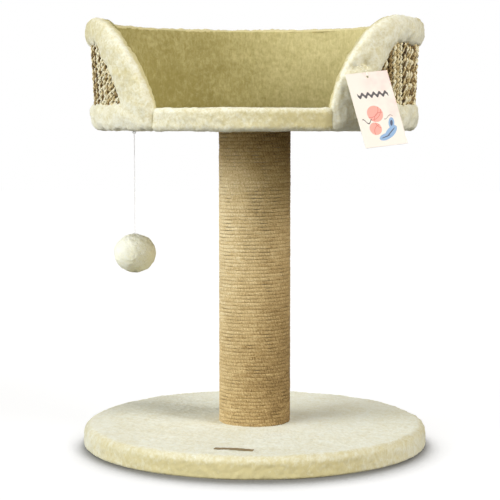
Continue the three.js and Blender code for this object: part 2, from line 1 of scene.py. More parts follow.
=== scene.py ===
"""Cat scratching post: plush base, sisal post, round perch with a padded straw-panelled wall,
a plush ball on a string and a card tag. Metres, +Z up, the front faces -Y.
Angles round the wall are measured from the front (from_front), in degrees."""

import json
import math

import bpy
import numpy as np
from mathutils import Matrix, Vector


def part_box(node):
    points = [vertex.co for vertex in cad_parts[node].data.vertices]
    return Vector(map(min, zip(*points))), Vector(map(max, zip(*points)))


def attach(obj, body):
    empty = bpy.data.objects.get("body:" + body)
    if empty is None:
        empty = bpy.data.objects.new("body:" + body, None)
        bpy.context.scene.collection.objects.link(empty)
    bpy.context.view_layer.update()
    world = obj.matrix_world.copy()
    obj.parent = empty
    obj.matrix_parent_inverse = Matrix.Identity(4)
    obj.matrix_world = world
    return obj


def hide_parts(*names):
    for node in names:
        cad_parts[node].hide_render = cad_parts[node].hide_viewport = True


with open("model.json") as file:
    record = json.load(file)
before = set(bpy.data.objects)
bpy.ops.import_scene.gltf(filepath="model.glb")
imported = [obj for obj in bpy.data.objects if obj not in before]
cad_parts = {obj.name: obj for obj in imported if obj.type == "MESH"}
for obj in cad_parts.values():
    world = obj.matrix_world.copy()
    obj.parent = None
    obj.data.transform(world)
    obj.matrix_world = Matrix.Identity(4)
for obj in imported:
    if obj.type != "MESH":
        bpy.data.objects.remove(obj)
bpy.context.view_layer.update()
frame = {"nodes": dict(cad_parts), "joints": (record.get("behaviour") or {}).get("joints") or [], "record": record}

MM = 0.001
TURN = 2 * math.pi

# ---- Sizes that the frame gives

BASE_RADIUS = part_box("base_cover")[1].x
BASE_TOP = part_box("base_cover")[1].z
PERCH_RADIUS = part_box("perch_cover")[1].x
PERCH_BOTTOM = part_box("perch_cover")[0].z
PERCH_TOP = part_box("perch_cover")[1].z
RIM_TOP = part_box("wall_border")[1].z
TUBE_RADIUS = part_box("post_tube")[1].x
STRING_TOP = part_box("toy_string")[1].z
STRING_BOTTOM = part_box("toy_string")[0].z
BALL_LOW, BALL_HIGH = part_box("pompom")
KNOT_LOW, KNOT_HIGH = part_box("toy_knot")
TOY_X = (KNOT_LOW.x + KNOT_HIGH.x) / 2
TOY_Y = (KNOT_LOW.y + KNOT_HIGH.y) / 2
JOINTS = {joint["name"]: joint for joint in frame["joints"]}
TAG_HOLE = Vector(JOINTS["tag_swing"]["pos_m"])

# ---- Sizes of the soft pieces, as in the solids they stand for

BASE_PLUSH = 4.7 * MM
BASE_SHOULDER = 9 * MM
BASE_FOOT_ROUND = 1.5 * MM
HEM_WIDTH = 28 * MM
HEM_THICKNESS = 1.5 * MM
PERCH_PLUSH = 4.7 * MM
PERCH_SHOULDER = 5 * MM
PERCH_UNDERLAY = 2.7 * MM
PERCH_PAD = 6.3 * MM
POST_HOLE = TUBE_RADIUS + 0.6 * MM
ROPE_THICKNESS = 3.9 * MM
ROPE_TURNS = 84
ROPE_TURNS_SUNK = 0.6
ROPE_DRAWN_IN = 0.4 * MM
STRING_DIAMETER = 0.9 * MM

LAYOUT_RADIUS = 184 * MM
WALL_FLARE = 0.05
WALL_LEAN = 0.085
LINING_INNER = PERCH_RADIUS + 0.85 * MM
LINING_THICKNESS = 3.5 * MM
MAT_INNER = PERCH_RADIUS + 8.5 * MM
MAT_THICKNESS = 7 * MM
ARM_TIP = 31.6
ARM_SWEEP = 34
ARM_UPRIGHT = 18.4 * MM
ARM_CORNER = 6 * MM
BORDER_WRAP = 4 * MM
BAND_CROWN = 9.5 * MM
ROLL_CROWN = 10.3 * MM
WINDOW_FOOT = 29.9 * MM
WINDOW_HEIGHT = 65.5 * MM
WINDOW_FRONT = 47.2
WINDOW_SWEEP = 14
FRONT_BAND_CROWN = 4.5 * MM
FRONT_BAND_ROUND = 6 * MM
SEAM_TUCK = 1.6 * MM
GAP = 0.3 * MM

STRAND_PITCH = 8 * MM
PLY_RADIUS = 1.55 * MM
PLY_OFFSET = 1.4 * MM
PLY_TWIST = 12 * MM

LABEL_LENGTH = 43 * MM
LABEL_WIDTH = 8 * MM
LABEL_THICKNESS = 0.8 * MM
LABEL_SAG = 0.25 * MM
LABEL_SAG_LENGTH = 46 * MM
LABEL_CLOTH_ROUND = 20 * MM
LABEL_PLACE = Vector((-8 * MM, -165.5 * MM, BASE_TOP + 0.7 * MM))
LABEL_TURN = -8

TAG_FACING = 26.3
TAG_LEAN = 22.9
TAG_ROLL = 6.3
TAG_FROM_FRONT = 41.25
NYLON_RADIUS = 0.22 * MM
DIMPLES = ((38.4, 434 * MM), (43.4, 436.5 * MM))
DIMPLE_DEPTH = 4.4 * MM
DIMPLE_RADIUS = 3.6 * MM

# ---- Camera: the photograph's view

CAMERA_TURN = 5.2
CAMERA_DISTANCE = 1775.76 * MM
CAMERA_HEIGHT = 380.42 * MM
CAMERA_ASIDE = -5.5 * MM
CAMERA_PITCH = 4.96
CAMERA_LENS = 109.49


def make_camera():
    """A level line of sight turned round the post, moved aside and then pitched down."""
    turn, pitch = math.radians(CAMERA_TURN), math.radians(CAMERA_PITCH)
    level = Vector((-math.sin(turn), math.cos(turn), 0))
    right = Vector((math.cos(turn), math.sin(turn), 0))
    ahead = level * math.cos(pitch) - Vector((0, 0, math.sin(pitch)))
    above = right.cross(ahead)
    place = right * CAMERA_ASIDE - level * CAMERA_DISTANCE + Vector((0, 0, CAMERA_HEIGHT))
    data = bpy.data.cameras.new("camera")
    data.lens = CAMERA_LENS
    data.sensor_width = 36
    data.clip_end = 50
    camera = bpy.data.objects.new("camera", data)
    columns = [right, above, -ahead, place]
    camera.matrix_world = Matrix([[*row, 0] for row in columns[:3]] + [[*place, 1]]).transposed()
    bpy.context.scene.collection.objects.link(camera)
    bpy.context.scene.camera = camera


# ---- Shader writing


def srgb(red, green, blue):
    """A colour given as 0 to 255 in sRGB, in the linear values that a socket takes."""
    shares = (np.array([red, green, blue]) / 255).astype(float)
    linear = np.where(shares <= 0.04045, shares / 12.92, ((shares + 0.055) / 1.055) ** 2.4)
    return (*linear.tolist(), 1.0)


class Wire:
    """An output socket. Arithmetic between wires and numbers adds Math nodes."""

    def __init__(self, finish, socket):
        self.finish = finish
        self.socket = socket

    def math(self, operation, *values):
        return self.finish.node("ShaderNodeMath", {"operation": operation}, dict(enumerate(values)))

    def __add__(self, other):
        return self.math("ADD", self, other)

    def __sub__(self, other):
        return self.math("SUBTRACT", self, other)

    def __rsub__(self, other):
        return self.math("SUBTRACT", other, self)

    def __mul__(self, other):
        return self.math("MULTIPLY", self, other)

    def __truediv__(self, other):
        return self.math("DIVIDE", self, other)

    def __pow__(self, other):
        return self.math("POWER", self, other)

    __radd__ = __add__
    __rmul__ = __mul__

    def sine(self):
        return self.math("SINE", self)

    def size(self):
        return self.math("ABSOLUTE", self)

    def step(self, start, end):
        """0 up to start, 1 from end, smooth between."""
        settings = {"interpolation_type": "SMOOTHSTEP", "clamp": True}
        return self.finish.node("ShaderNodeMapRange", settings,
                                {"Value": self, "From Min": start, "From Max": end})


class Finish:
    """A material: its nodes are added through node(), and shade() sets its surface."""

    def __init__(self, name):
        self.material = bpy.data.materials.new(name)
        self.material.use_nodes = True
        self.tree = self.material.node_tree
        self.surface = self.tree.nodes["Principled BSDF"]

    def node(self, kind, settings=None, inputs=None, output=0):
        """Adds a node, sets its settings, then gives its sockets values or wires."""
        made = self.tree.nodes.new(kind)
        for name, value in (settings or {}).items():
            if name == "stops":
                while len(made.color_ramp.elements) < len(value):
                    made.color_ramp.elements.new(1)
                for element, (place, color) in zip(made.color_ramp.elements, value):
                    element.position = place
                    element.color = color
            else:
                setattr(made, name, value)
        for name, value in (inputs or {}).items():
            self.feed(made.inputs[name], value)
        return Wire(self, made.outputs[output])

    def feed(self, socket, value):
        if isinstance(value, Wire):
            self.tree.links.new(value.socket, socket)
        else:
            socket.default_value = value

    def place(self):
        return self.node("ShaderNodeTexCoord", output="Object")

    def uv(self):
        return self.node("ShaderNodeTexCoord", output="UV")

    def attribute(self, name):
        return self.node("ShaderNodeAttribute", {"attribute_name": name}, output="Fac")

    def axes(self, vector):
        return [self.node("ShaderNodeSeparateXYZ", None, {0: vector}, axis) for axis in range(3)]

    def joined(self, x, y, z):
        return self.node("ShaderNodeCombineXYZ", None, {0: x, 1: y, 2: z})

    def scaled(self, vector, x, y, z):
        return self.node("ShaderNodeMapping", None, {"Vector": vector, "Scale": (x, y, z)})

    def noise(self, vector, scale, detail=2, roughness=0.5, distortion=0):
        """Cloudy values from 0 to 1 about 1/scale metres wide."""
        return self.node("ShaderNodeTexNoise", None, {
            "Vector": vector, "Scale": scale, "Detail": detail,
            "Roughness": roughness, "Distortion": distortion})

    def mix(self, factor, first, second):
        settings = {"data_type": "RGBA"}
        return self.node("ShaderNodeMix", settings, {0: factor, 6: first, 7: second}, 2)

    def ramp(self, factor, *stops):
        return self.node("ShaderNodeValToRGB", {"stops": stops}, {0: factor})

    def bump(self, height, depth, strength=1.0):
        inputs = {"Height": height, "Distance": depth, "Strength": strength}
        return self.node("ShaderNodeBump", None, inputs)

    def shade(self, **sockets):
        """Sets the surface's sockets; a name's underscores stand for spaces."""
        for name, value in sockets.items():
            self.feed(self.surface.inputs[name.replace("_", " ")], value)
        return self.material


# ---- Finishes

CREAM_TIP = srgb(247, 246, 231)
CREAM_ROOT = srgb(213, 202, 154)
BASE_TIP = srgb(245, 247, 238)
BALL_TIP = srgb(254, 254, 243)
BALL_ROOT = srgb(243, 239, 200)
# The lining's colours: a darker, olive copy of the cream plush, as painted shade.
LINING_TIP_PAINTED_SHADE = srgb(222, 212, 162)
LINING_ROOT_PAINTED_SHADE = srgb(150, 139, 84)


PILE_DEPTH = 0.8 * MM
PILE_COVER = 0.57


def plush(name, tip, root, streak_up=1.0, softness=0.25):
    """Short pile: tips over darker roots in fine tufts, brushed in broad patches, with a soft sheen.
    Where the pieces' point attribute is high, more root colour shows in mottles; that attribute is
    painted shade. A low streak_up draws the tufts out upright, and softness evens the two colours."""
    finish = Finish(name)
    place = finish.place()
    combed = finish.scaled(place, 1, 1, streak_up)
    tufts = finish.noise(combed, 420, 3, 0.62, 0.4)
    fibres = finish.noise(combed, 1900, 2, 0.6)
    brushed = finish.noise(place, 26, 3, 0.55, 0.8)
    swirl = finish.noise(place, 130, 2, 0.55, 1.2)
    # The point attribute read here is painted shade: it brings out more root colour.
    painted_shade_mottle = finish.attribute("root") * (finish.noise(place, 150, 3, 0.6, 0.6) * 1.3 + 0.35)
    light = tufts * 0.45 + fibres * 0.2 + brushed * 0.3 + swirl * 0.4
    standing = (light - painted_shade_mottle * 0.5).step(PILE_COVER - softness, PILE_COVER + softness)
    colour = finish.mix(standing, root, tip)
    height = tufts * 0.7 + fibres * 0.3
    return finish.shade(
        Base_Color=colour,
        Roughness=0.95,
        Sheen_Weight=0.35,
        Sheen_Roughness=0.45,
        Sheen_Tint=tip,
        Specular_IOR_Level=0.15,
        Normal=finish.bump(height, PILE_DEPTH, 0.5),
    )


def sisal():
    """Twisted rope: faint strands slant across it, hairs run along them and short stretches are paler or
    darker. Painted light makes the left side and the middle heights paler, with painted shade at the
    top and bottom, and the grooves get a touch of painted shade."""
    finish = Finish("sisal_rope")
    along, across, _ = finish.axes(finish.uv())
    place = finish.place()
    slant = along * 290 + across * 150
    # The grooves between strands: a dip in the bump and a touch of painted shade in the colour.
    between = 1 - ((slant * TURN).sine() + 1).step(0.0, 0.9)
    hairs = finish.noise(finish.joined(slant * 3.1, across * 420, along * 30), 1, 3, 0.7)
    stretch = finish.noise(finish.joined(along * 45, across * 60, 0.0), 1, 3, 0.65)
    speck = finish.noise(place, 650, 3, 0.7)
    left_right, _, height_up = finish.axes(place)
    # Painted light: paler on the left and darker on the right, and paler at middle heights (lit), with painted
    # shade at the top under the perch and at the bottom.
    painted_light_from_left = left_right * (-0.075 / TUBE_RADIUS)
    lit = (height_up - 0.06).step(0.0, 0.2) * (1 - height_up.step(0.3, 0.36))
    fibre = hairs * 0.35 + stretch * 0.25 + speck * 0.4 - between * 0.03
    tone = fibre + painted_light_from_left + lit * 0.11 - 0.07
    colour = finish.ramp(
        tone,
        (0.28, srgb(108, 84, 50)),
        (0.42, srgb(172, 146, 100)),
        (0.54, srgb(208, 185, 139)),
        (0.72, srgb(244, 230, 192)),
    )
    height = hairs * 0.6 + speck * 0.6 - between * 0.4
    return finish.shade(
        Base_Color=colour,
        Roughness=0.9,
        Specular_IOR_Level=0.15,
        Normal=finish.bump(height, 0.5 * MM, 0.7),
    )


def seagrass():
    """Dried straw: every ply has its own tone, with lengthwise fibres and dark kinks."""
    finish = Finish("seagrass")
    along, across, _ = finish.axes(finish.uv())
    tone = finish.attribute("tone")
    fibres = finish.noise(finish.joined(along * 120, across * 3000, tone * 40), 1, 3, 0.65)
    kinks = finish.noise(finish.joined(along * 330, across * 200, tone * 90), 1, 2, 0.5)
    shade = tone * 0.5 + fibres * 0.3 + kinks * 0.45
    colour = finish.ramp(
        shade,
        (0.38, srgb(60, 42, 20)),
        (0.49, srgb(146, 120, 72)),
        (0.59, srgb(222, 202, 150)),
        (0.72, srgb(255, 248, 218)),
    )
    return finish.shade(
        Base_Color=colour,
        Roughness=0.7,
        Specular_IOR_Level=0.35,
        Normal=finish.bump(fibres + kinks * 0.5, 0.5 * MM, 0.8),
    )


def straw_backing_painted_shade():
    """Woven ground behind the straw strands, dark brown as painted shade between them."""
    finish = Finish("straw_backing_painted_shade")
    grain = finish.noise(finish.scaled(finish.place(), 1, 1, 0.3), 700, 3, 0.6)
    # Painted shade: the ground's dark brown stands for the shadow between the strands.
    colour = finish.mix(grain, srgb(40, 27, 14), srgb(84, 62, 36))
    relief = finish.bump(grain, 0.5 * MM)
    return finish.shade(Base_Color=colour, Roughness=0.95, Normal=relief)


def woven_label():
    """Brown ribbon: a fine ribbed weave, its colour faintly frayed."""
    finish = Finish("brown_weave")
    along, across, _ = finish.axes(finish.uv())
    rib = (along * (TURN / (0.55 * MM))).sine()
    weft = (across * (TURN / (0.7 * MM))).sine()
    weave = rib * weft * 0.5 + 0.5
    fray = finish.noise(finish.place(), 1300, 2, 0.6)
    colour = finish.mix(weave * 0.6 + fray * 0.4, srgb(108, 90, 60), srgb(168, 148, 108))
    return finish.shade(
        Base_Color=colour,
        Roughness=0.85,
        Normal=finish.bump(weave, 0.15 * MM, 0.7),
    )


def chipboard():
    """Pressed chips of mixed tone."""
    finish = Finish("chipboard")
    chips = finish.node("ShaderNodeTexVoronoi", None, {
        "Vector": finish.scaled(finish.place(), 1, 1, 2.5), "Scale": 260}, "Color")
    tone, _, _ = finish.axes(chips)
    dust = finish.noise(finish.place(), 800, 2)
    colour = finish.mix(tone * 0.7 + dust * 0.3, srgb(168, 132, 88), srgb(224, 196, 152))
    relief = finish.bump(tone + dust, 0.2 * MM, 0.5)
    return finish.shade(Base_Color=colour, Roughness=0.8, Normal=relief)


def birch():
    """Turned plug: faint growth bands and long pores."""
    finish = Finish("birch")
    place = finish.place()
    bands = finish.node("ShaderNodeTexWave", {"wave_type": "BANDS", "bands_direction": "X"}, {
        "Vector": place, "Scale": 110, "Distortion": 4, "Detail": 2})
    pores = finish.noise(finish.scaled(place, 1, 0.08, 1), 900, 2)
    colour = finish.mix(bands * 0.6 + pores * 0.4, srgb(196, 164, 116), srgb(230, 206, 164))
    relief = finish.bump(pores, 0.1 * MM, 0.4)
    return finish.shade(Base_Color=colour, Roughness=0.6, Normal=relief)


def greyboard():
    """Recycled board: grey with flecks of lighter and darker fibre."""
    finish = Finish("greyboard")
    fibres = finish.noise(finish.scaled(finish.place(), 1, 1, 0.35), 520, 4, 0.7)
    flecks = finish.noise(finish.place(), 1500, 1).step(0.62, 0.72)
    colour = finish.mix(fibres, srgb(132, 120, 102), srgb(182, 170, 150))
    colour = finish.mix(flecks * 0.5, colour, srgb(92, 82, 70))
    relief = finish.bump(fibres, 0.15 * MM, 0.5)
    return finish.shade(Base_Color=colour, Roughness=0.9, Normal=relief)


def black_felt():
    """Non-woven backing: matted dark fibres with faint bonded dots."""
    finish = Finish("black_felt")
    place = finish.place()
    fibres = finish.noise(place, 1100, 4, 0.7, 0.6)
    dots = finish.node("ShaderNodeTexVoronoi", {"feature": "F1"}, {
        "Vector": place, "Scale": 420, "Randomness": 0.15}, "Distance").step(0.18, 0.32)
    colour = finish.mix(fibres * 0.7 + dots * 0.3, srgb(26, 26, 28), srgb(58, 57, 58))
    relief = finish.bump(fibres + dots, 0.2 * MM, 0.6)
    return finish.shade(Base_Color=colour, Roughness=0.95, Normal=relief)


def zinc():
    """Bright zinc plate with fine spangles and handling marks."""
    finish = Finish("zinc_steel")
    place = finish.place()
    spangle = finish.node("ShaderNodeTexVoronoi", None, {"Vector": place, "Scale": 700}, "Color")
    tone, _, _ = finish.axes(spangle)
    smears = finish.noise(place, 160, 3, 0.6)
    colour = finish.mix(tone * 0.5 + smears * 0.5, srgb(178, 180, 178), srgb(212, 214, 214))
    return finish.shade(
        Base_Color=colour,
        Metallic=1.0,
        Roughness=smears * 0.25 + 0.25,
        Normal=finish.bump(smears, 0.05 * MM, 0.3),
    )


def elastic():
    """Thin braided string, off-white and a little clear: two sets of threads wind round it, one each
    way."""
    finish = Finish("elastic")
    along, across, _ = finish.axes(finish.uv())
    right_hand = ((along * 700 + across * 400) * TURN).sine()
    left_hand = ((along * 700 - across * 400) * TURN).sine()
    weave = right_hand * left_hand * 0.5 + 0.5
    colour = finish.mix(weave, srgb(240, 240, 242), srgb(255, 255, 255))
    return finish.shade(
        Base_Color=colour,
        Roughness=0.6,
        Transmission_Weight=0.55,
        IOR=1.1,
        Normal=finish.bump(weave, 0.1 * MM, 0.3),
    )


def nylon():
    """Clear thread."""
    finish = Finish("clear_nylon")
    grain = finish.noise(finish.place(), 300, 2)
    return finish.shade(
        Base_Color=srgb(248, 248, 244),
        Roughness=grain * 0.15 + 0.1,
        Transmission_Weight=0.9,
        IOR=1.3,
    )


# The card's print, in millimetres right of and above its hole: a disc's centre, radius, height as a
# multiple of its width, and lean in degrees; a winding's centre, outer radius and width.
YARN = [(-3.5, -42, 9.2), (-7.5, -58.5, 7)]
WINDINGS = [(-9, -35, 11, 0.8), (-9, -35, 14, 0.8), (3, -50, 9.5, 0.8), (-1, -63, 9, 0.8)]
LEAVES = [(9, -64, 4.4, 2.3, -52), (1.5, -68.5, 3.6, 2.2, -76), (12.5, -54, 3.4, 1.9, -18)]
VEINS = [(9, -64, 0.6, 12.0, -52), (1.5, -68.5, 0.5, 11.0, -76), (12.5, -54, 1.5, 2.2, -18)]


def printed_card():
    """Coated card. On its front, a pale ground blushed at the upper right with a wavy dark rule, two
    salmon balls of yarn with a trailing thread, and three blue leaves; its back is plain."""
    finish = Finish("card")
    flat = finish.node("ShaderNodeMapping", {"vector_type": "TEXTURE"}, {
        "Vector": finish.place(),
        "Location": TAG_HOLE[:],
        "Rotation": tag_rotation().to_euler("XYZ")[:],
        "Scale": (MM, MM, MM),
    })
    x, depth, z = finish.axes(flat)

    def wave(length, height, shift=0.0):
        return ((x + shift) * (TURN / length)).sine() * height

    def disc(centre_x, centre_z, radius, squash=1.0, lean=0.0):
        """1 inside an ellipse: its upright axis is squash times as long, turned by lean degrees."""
        cosine, sine = math.cos(math.radians(lean)), math.sin(math.radians(lean))
        across = (x - centre_x) * cosine + (z - centre_z) * sine
        upward = ((z - centre_z) * cosine - (x - centre_x) * sine) / squash
        distance = (across * across + upward * upward) ** 0.5
        return 1 - distance.step(radius - 0.25, radius + 0.25)

    def ring(centre_x, centre_z, radius, width):
        return disc(centre_x, centre_z, radius) * (1 - disc(centre_x, centre_z, radius - width))

    def stroke(line, half_width, start, end):
        """1 near a line, whose height is a function of x, between two values of x."""
        inside = 1 - (z - line).size().step(half_width - 0.2, half_width + 0.2)
        return inside * (x - start).step(0.0, 0.5) * (1 - (x - end).step(0.0, 0.5))

    def sum_of(draw, shapes):
        return sum((draw(*shape) for shape in shapes[1:]), draw(*shapes[0])).step(0.3, 0.7)

    mottle = finish.noise(flat, 0.06, 2, 0.5)
    upper_right = (x + z * 0.3 + 20).step(0, 26) * (z + 62).step(0, 20)
    blush = mottle.step(0.3, 0.7) * upper_right
    picture = finish.mix(blush, srgb(245, 236, 227), srgb(247, 219, 213))
    yarn = sum_of(disc, YARN)
    leaves, veins = sum_of(disc, LEAVES), sum_of(disc, VEINS)
    rule = stroke(wave(6.8, 1.7) - 20.5, 1.9, -18, 18)
    thread = stroke(wave(11, 2.6) - 49.5, 0.7, -20, -9.5)
    stalk = stroke(wave(14, 2.0, 4) - 47, 0.35, 5, 16)
    for shape, ink in (
        (rule, srgb(46, 36, 38)),
        (yarn, srgb(243, 166, 152)),
        (yarn * sum_of(ring, WINDINGS), srgb(222, 122, 112)),
        (thread, srgb(70, 52, 54)),
        (leaves, srgb(136, 172, 214)),
        (veins, srgb(42, 54, 86)),
        (stalk, srgb(120, 104, 104)),
    ):
        picture = finish.mix(shape, picture, ink)

    front = (depth * -1).step(0.0, 0.2)
    colour = finish.mix(front, srgb(247, 243, 235), picture)
    fibres = finish.noise(finish.place(), 2200, 2)
    return finish.shade(
        Base_Color=colour,
        Roughness=0.45,
        Specular_IOR_Level=0.4,
        Normal=finish.bump(fibres, 0.03 * MM, 0.4),
    )


# ---- Surfaces


def between(value, start, end):
    """0 up to start, 1 from end and straight between; it falls where start is the greater."""
    return np.clip((value - start) / (end - start), 0, 1)


def ripples(points, wavelength, seed, count=28):
    """Smooth random values of about -1 to 1: the mean of sine waves in random directions and phases."""
    random = np.random.default_rng(seed)
    directions = random.normal(size=(count, 3))
    directions /= np.linalg.norm(directions, axis=1)[:, None]
    waves = TURN / (wavelength * random.uniform(0.7, 1.5, count))
    phases = random.uniform(0, TURN, count)
    flat = points.reshape(-1, 3)
    total = np.zeros(len(flat))
    for direction, wave, phase in zip(directions, waves, phases):
        total += np.sin(flat @ direction * wave + phase)
    return (total * math.sqrt(2 / count)).reshape(points.shape[:-1])


def link(name, mesh, material, body="stand"):
    """A finished piece: smooth, in its material and riding on its body."""
    mesh.polygons.foreach_set("use_smooth", np.ones(len(mesh.polygons), bool))
    mesh.materials.append(material)
    piece = bpy.data.objects.new(name, mesh)
    bpy.context.scene.collection.objects.link(piece)
    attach(piece, body)
    return piece


def outward(points, faces):
    """The faces, turned round if the closed shape that they make has a negative volume."""
    corners = points[faces]
    volume = np.einsum("ij,ij->i", corners[:, 0], np.cross(corners[:, 1], corners[:, 2])).sum()
    if faces.shape[1] == 4:
        volume += np.einsum("ij,ij->i", corners[:, 0], np.cross(corners[:, 2], corners[:, 3])).sum()
    return faces if volume > 0 else faces[:, ::-1]


def sheet_of(points, wrap_rows, wrap_columns):
    """Corner numbers of the quads of a grid of points, closed on itself where wrapped."""
    rows, columns = points.shape[:2]
    number = np.arange(rows * columns).reshape(rows, columns)
    if wrap_rows:
        number = np.vstack([number, number[:1]])
    if wrap_columns:
        number = np.hstack([number, number[:, :1]])
    return grid_corners(number[..., None]).reshape(-1, 4)


def grid_corners(values):
    """A grid's values at the four corners of every quad, in sheet_of's order."""
    return np.stack([values[:-1, :-1], values[1:, :-1], values[1:, 1:], values[:-1, 1:]], -2)


def cloth_grid(along, across):
    """A place on the cloth for every pair of two lists of distances."""
    return np.stack(np.meshgrid(along, across, indexing="ij"), -1)


def lay_cloth(mesh, corners):
    """Gives every corner of every face its place on the cloth, in metres."""
    layer = mesh.uv_layers.new(name="cloth")
    layer.data.foreach_set("uv", corners.astype(np.float32).ravel())


def give(mesh, label, values):
    """Gives every point a number under that name."""
    attribute = mesh.attributes.new(label, "FLOAT", "POINT")
    attribute.data.foreach_set("value", values.astype(np.float32))


def surface(name, points, wrap=(True, True), uv=None, root=None):
    """A mesh from a grid of points. Where its rows don't wrap, each end row is closed by a fan, and
    uv, when given, has one more row or column than the points in each wrapped direction."""
    rows, columns = points.shape[:2]
    quads = sheet_of(points, *wrap)
    vertices = points.reshape(-1, 3)
    fans = np.zeros((0, 3), int)
    if not wrap[0]:
        centres = points[[0, -1]].mean(axis=1)
        ends = np.arange(columns)
        after = np.roll(ends, -1)
        last = (rows - 1) * columns
        count = len(vertices)
        head = np.stack([np.full(columns, count), ends, after], -1)
        tail = np.stack([np.full(columns, count + 1), last + after, last + ends], -1)
        fans = np.vstack([head, tail])
        vertices = np.vstack([vertices, centres])
    turned = outward(vertices, quads)
    flipped = turned is not quads
    mesh = bpy.data.meshes.new(name)
    faces = turned.tolist() + (fans[:, ::-1] if flipped else fans).tolist()
    mesh.from_pydata(vertices.tolist(), [], faces)
    if uv is not None:
        corners = grid_corners(uv).reshape(-1, 4, 2)
        corners = corners[:, ::-1] if flipped else corners
        spare = np.zeros((len(fans) * 3, 2))
        lay_cloth(mesh, np.vstack([corners.reshape(-1, 2), spare]))
    if root is not None:
        spare = np.zeros(len(vertices) - rows * columns)
        give(mesh, "root", np.concatenate([root.ravel(), spare]))
    return mesh


def normals_of(points, wrap=(True, True)):
    """Unit normals of a grid whose rows are closed sections, from the differences of neighbours,
    turned to point away from the sections' middles."""

    def slope(axis, wrapped):
        if wrapped:
            return np.roll(points, -1, axis) - np.roll(points, 1, axis)
        return np.gradient(points, axis=axis)

    normal = np.cross(slope(0, wrap[0]), slope(1, wrap[1]))
    normal /= np.maximum(np.linalg.norm(normal, axis=-1), 1e-12)[..., None]
    away = points - points.mean(axis=1, keepdims=True)
    return normal * np.sign((normal * away).sum())


def pile(points, seed, swell=0.35, tuft=0.12, fuzz=0.05):
    """How far plush stands proud: broad swells, tufts a few millimetres wide and fuzz, each by its
    size in millimetres."""
    random = np.random.default_rng(seed + 7)
    broad = ripples(points, 75 * MM, seed) * swell
    coarse = ripples(points, 11 * MM, seed + 1, 40) * tuft
    fine = ripples(points, 4.5 * MM, seed + 2, 40) * tuft * 0.6
    return (broad + coarse + fine + random.normal(size=points.shape[:-1]) * fuzz) * MM


def evenly(path, spacing):
    """Points on a line through the given ones, about spacing apart, its corners kept."""
    steps = [max(1, round(math.dist(a, b) / spacing)) for a, b in zip(path, path[1:])]
    parts = [np.linspace(a, b, n, endpoint=False) for a, b, n in zip(path, path[1:], steps)]
    return np.vstack([*parts, [path[-1]]])


def arc(centre, radius, start, end, steps):
    """Points [radius, height] on an arc of a profile, between two angles in degrees."""
    angles = np.radians(np.linspace(start, end, steps + 1))
    return [(centre[0] + radius * math.cos(a), centre[1] + radius * math.sin(a)) for a in angles]


PILE_ENDS = 3


def turned_plush(shown, hidden, columns, seed, **pile_sizes):
    """Plush turned about the post: the shown profile carries pile, which rises over its first and
    last few points, and the hidden one closes it. Gives the bare points, their normals, how far the
    pile stands proud and where on the profile it does."""
    profile = np.vstack([shown, hidden])
    angles = np.linspace(0, TURN, columns, endpoint=False)
    radius, height = profile[:, 0], profile[:, 1]
    points = np.stack([
        radius[None] * np.sin(angles)[:, None],
        -radius[None] * np.cos(angles)[:, None],
        np.broadcast_to(height, (columns, len(height))),
    ], -1)
    proud = pile(points, seed, **pile_sizes)
    share = np.zeros(len(profile))
    place = np.arange(len(shown))
    share[:len(shown)] = np.minimum(1, np.minimum(place, place[::-1]) / PILE_ENDS)
    return points, normals_of(points), proud * share, share


# ---- Base


def base_plush():
    """Profile: level top, quarter-round shoulder, upright side, hem turned under and flat on the
    floor. Painted shade darkens the shoulder and, towards the front, the side; further back the side
    is a little lighter."""
    columns, spacing = 690, 1.55 * MM
    board_edge = BASE_RADIUS - BASE_PLUSH
    board_top = BASE_TOP - BASE_PLUSH
    hem_edge = BASE_RADIUS - HEM_WIDTH
    top_edge = BASE_RADIUS - BASE_SHOULDER
    shoulder = arc((top_edge, BASE_TOP - BASE_SHOULDER), BASE_SHOULDER, 90, 0, 10)
    shown = evenly([
        (POST_HOLE, BASE_TOP),
        *shoulder,
        (BASE_RADIUS, BASE_FOOT_ROUND),
        (BASE_RADIUS - BASE_FOOT_ROUND, 0.0),
        (hem_edge, 0.0),
    ], spacing)
    hidden = np.array([
        (hem_edge, HEM_THICKNESS),
        (board_edge, HEM_THICKNESS),
        (board_edge, board_top),
        (POST_HOLE, board_top),
    ])
    points, normal, proud, share = turned_plush(shown, hidden, columns, 11, tuft=0.16, fuzz=0.14)
    height = points[..., 2]
    side = between(height, BASE_TOP - 4 * MM, BASE_TOP - 12 * MM) * (share > 0)
    moved = points + normal * (proud * (1 + 0.5 * side))[..., None]
    on_floor = height < 1.2 * MM
    moved[..., 2] = np.where(on_floor, height, moved[..., 2])
    radius = np.hypot(points[..., 0], points[..., 1])
    edge = between(radius, top_edge, top_edge + 5 * MM) * (share > 0)
    towards_front = between(points[..., 1], 0, -BASE_RADIUS)
    # Painted shade: on the shoulder, and on the side most towards the front; the side's back is a little lighter.
    root = edge * 0.35 + side * (0.75 * towards_front ** 3 - 0.15)
    finish = plush("base_plush", BASE_TIP, CREAM_ROOT, 0.5, 0.33)
    piece = link("base_plush", surface("base_plush", moved, root=root), finish)
    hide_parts("base_cover")


def oblong(angles, across_power, up_power):
    """A section of half width and half height 1: cosine and sine raised to powers below 1, which
    flatten its sides."""
    cosine, sine = np.cos(angles), np.sin(angles)
    return np.sign(cosine) * np.abs(cosine) ** across_power, np.sign(sine) * np.abs(sine) ** up_power


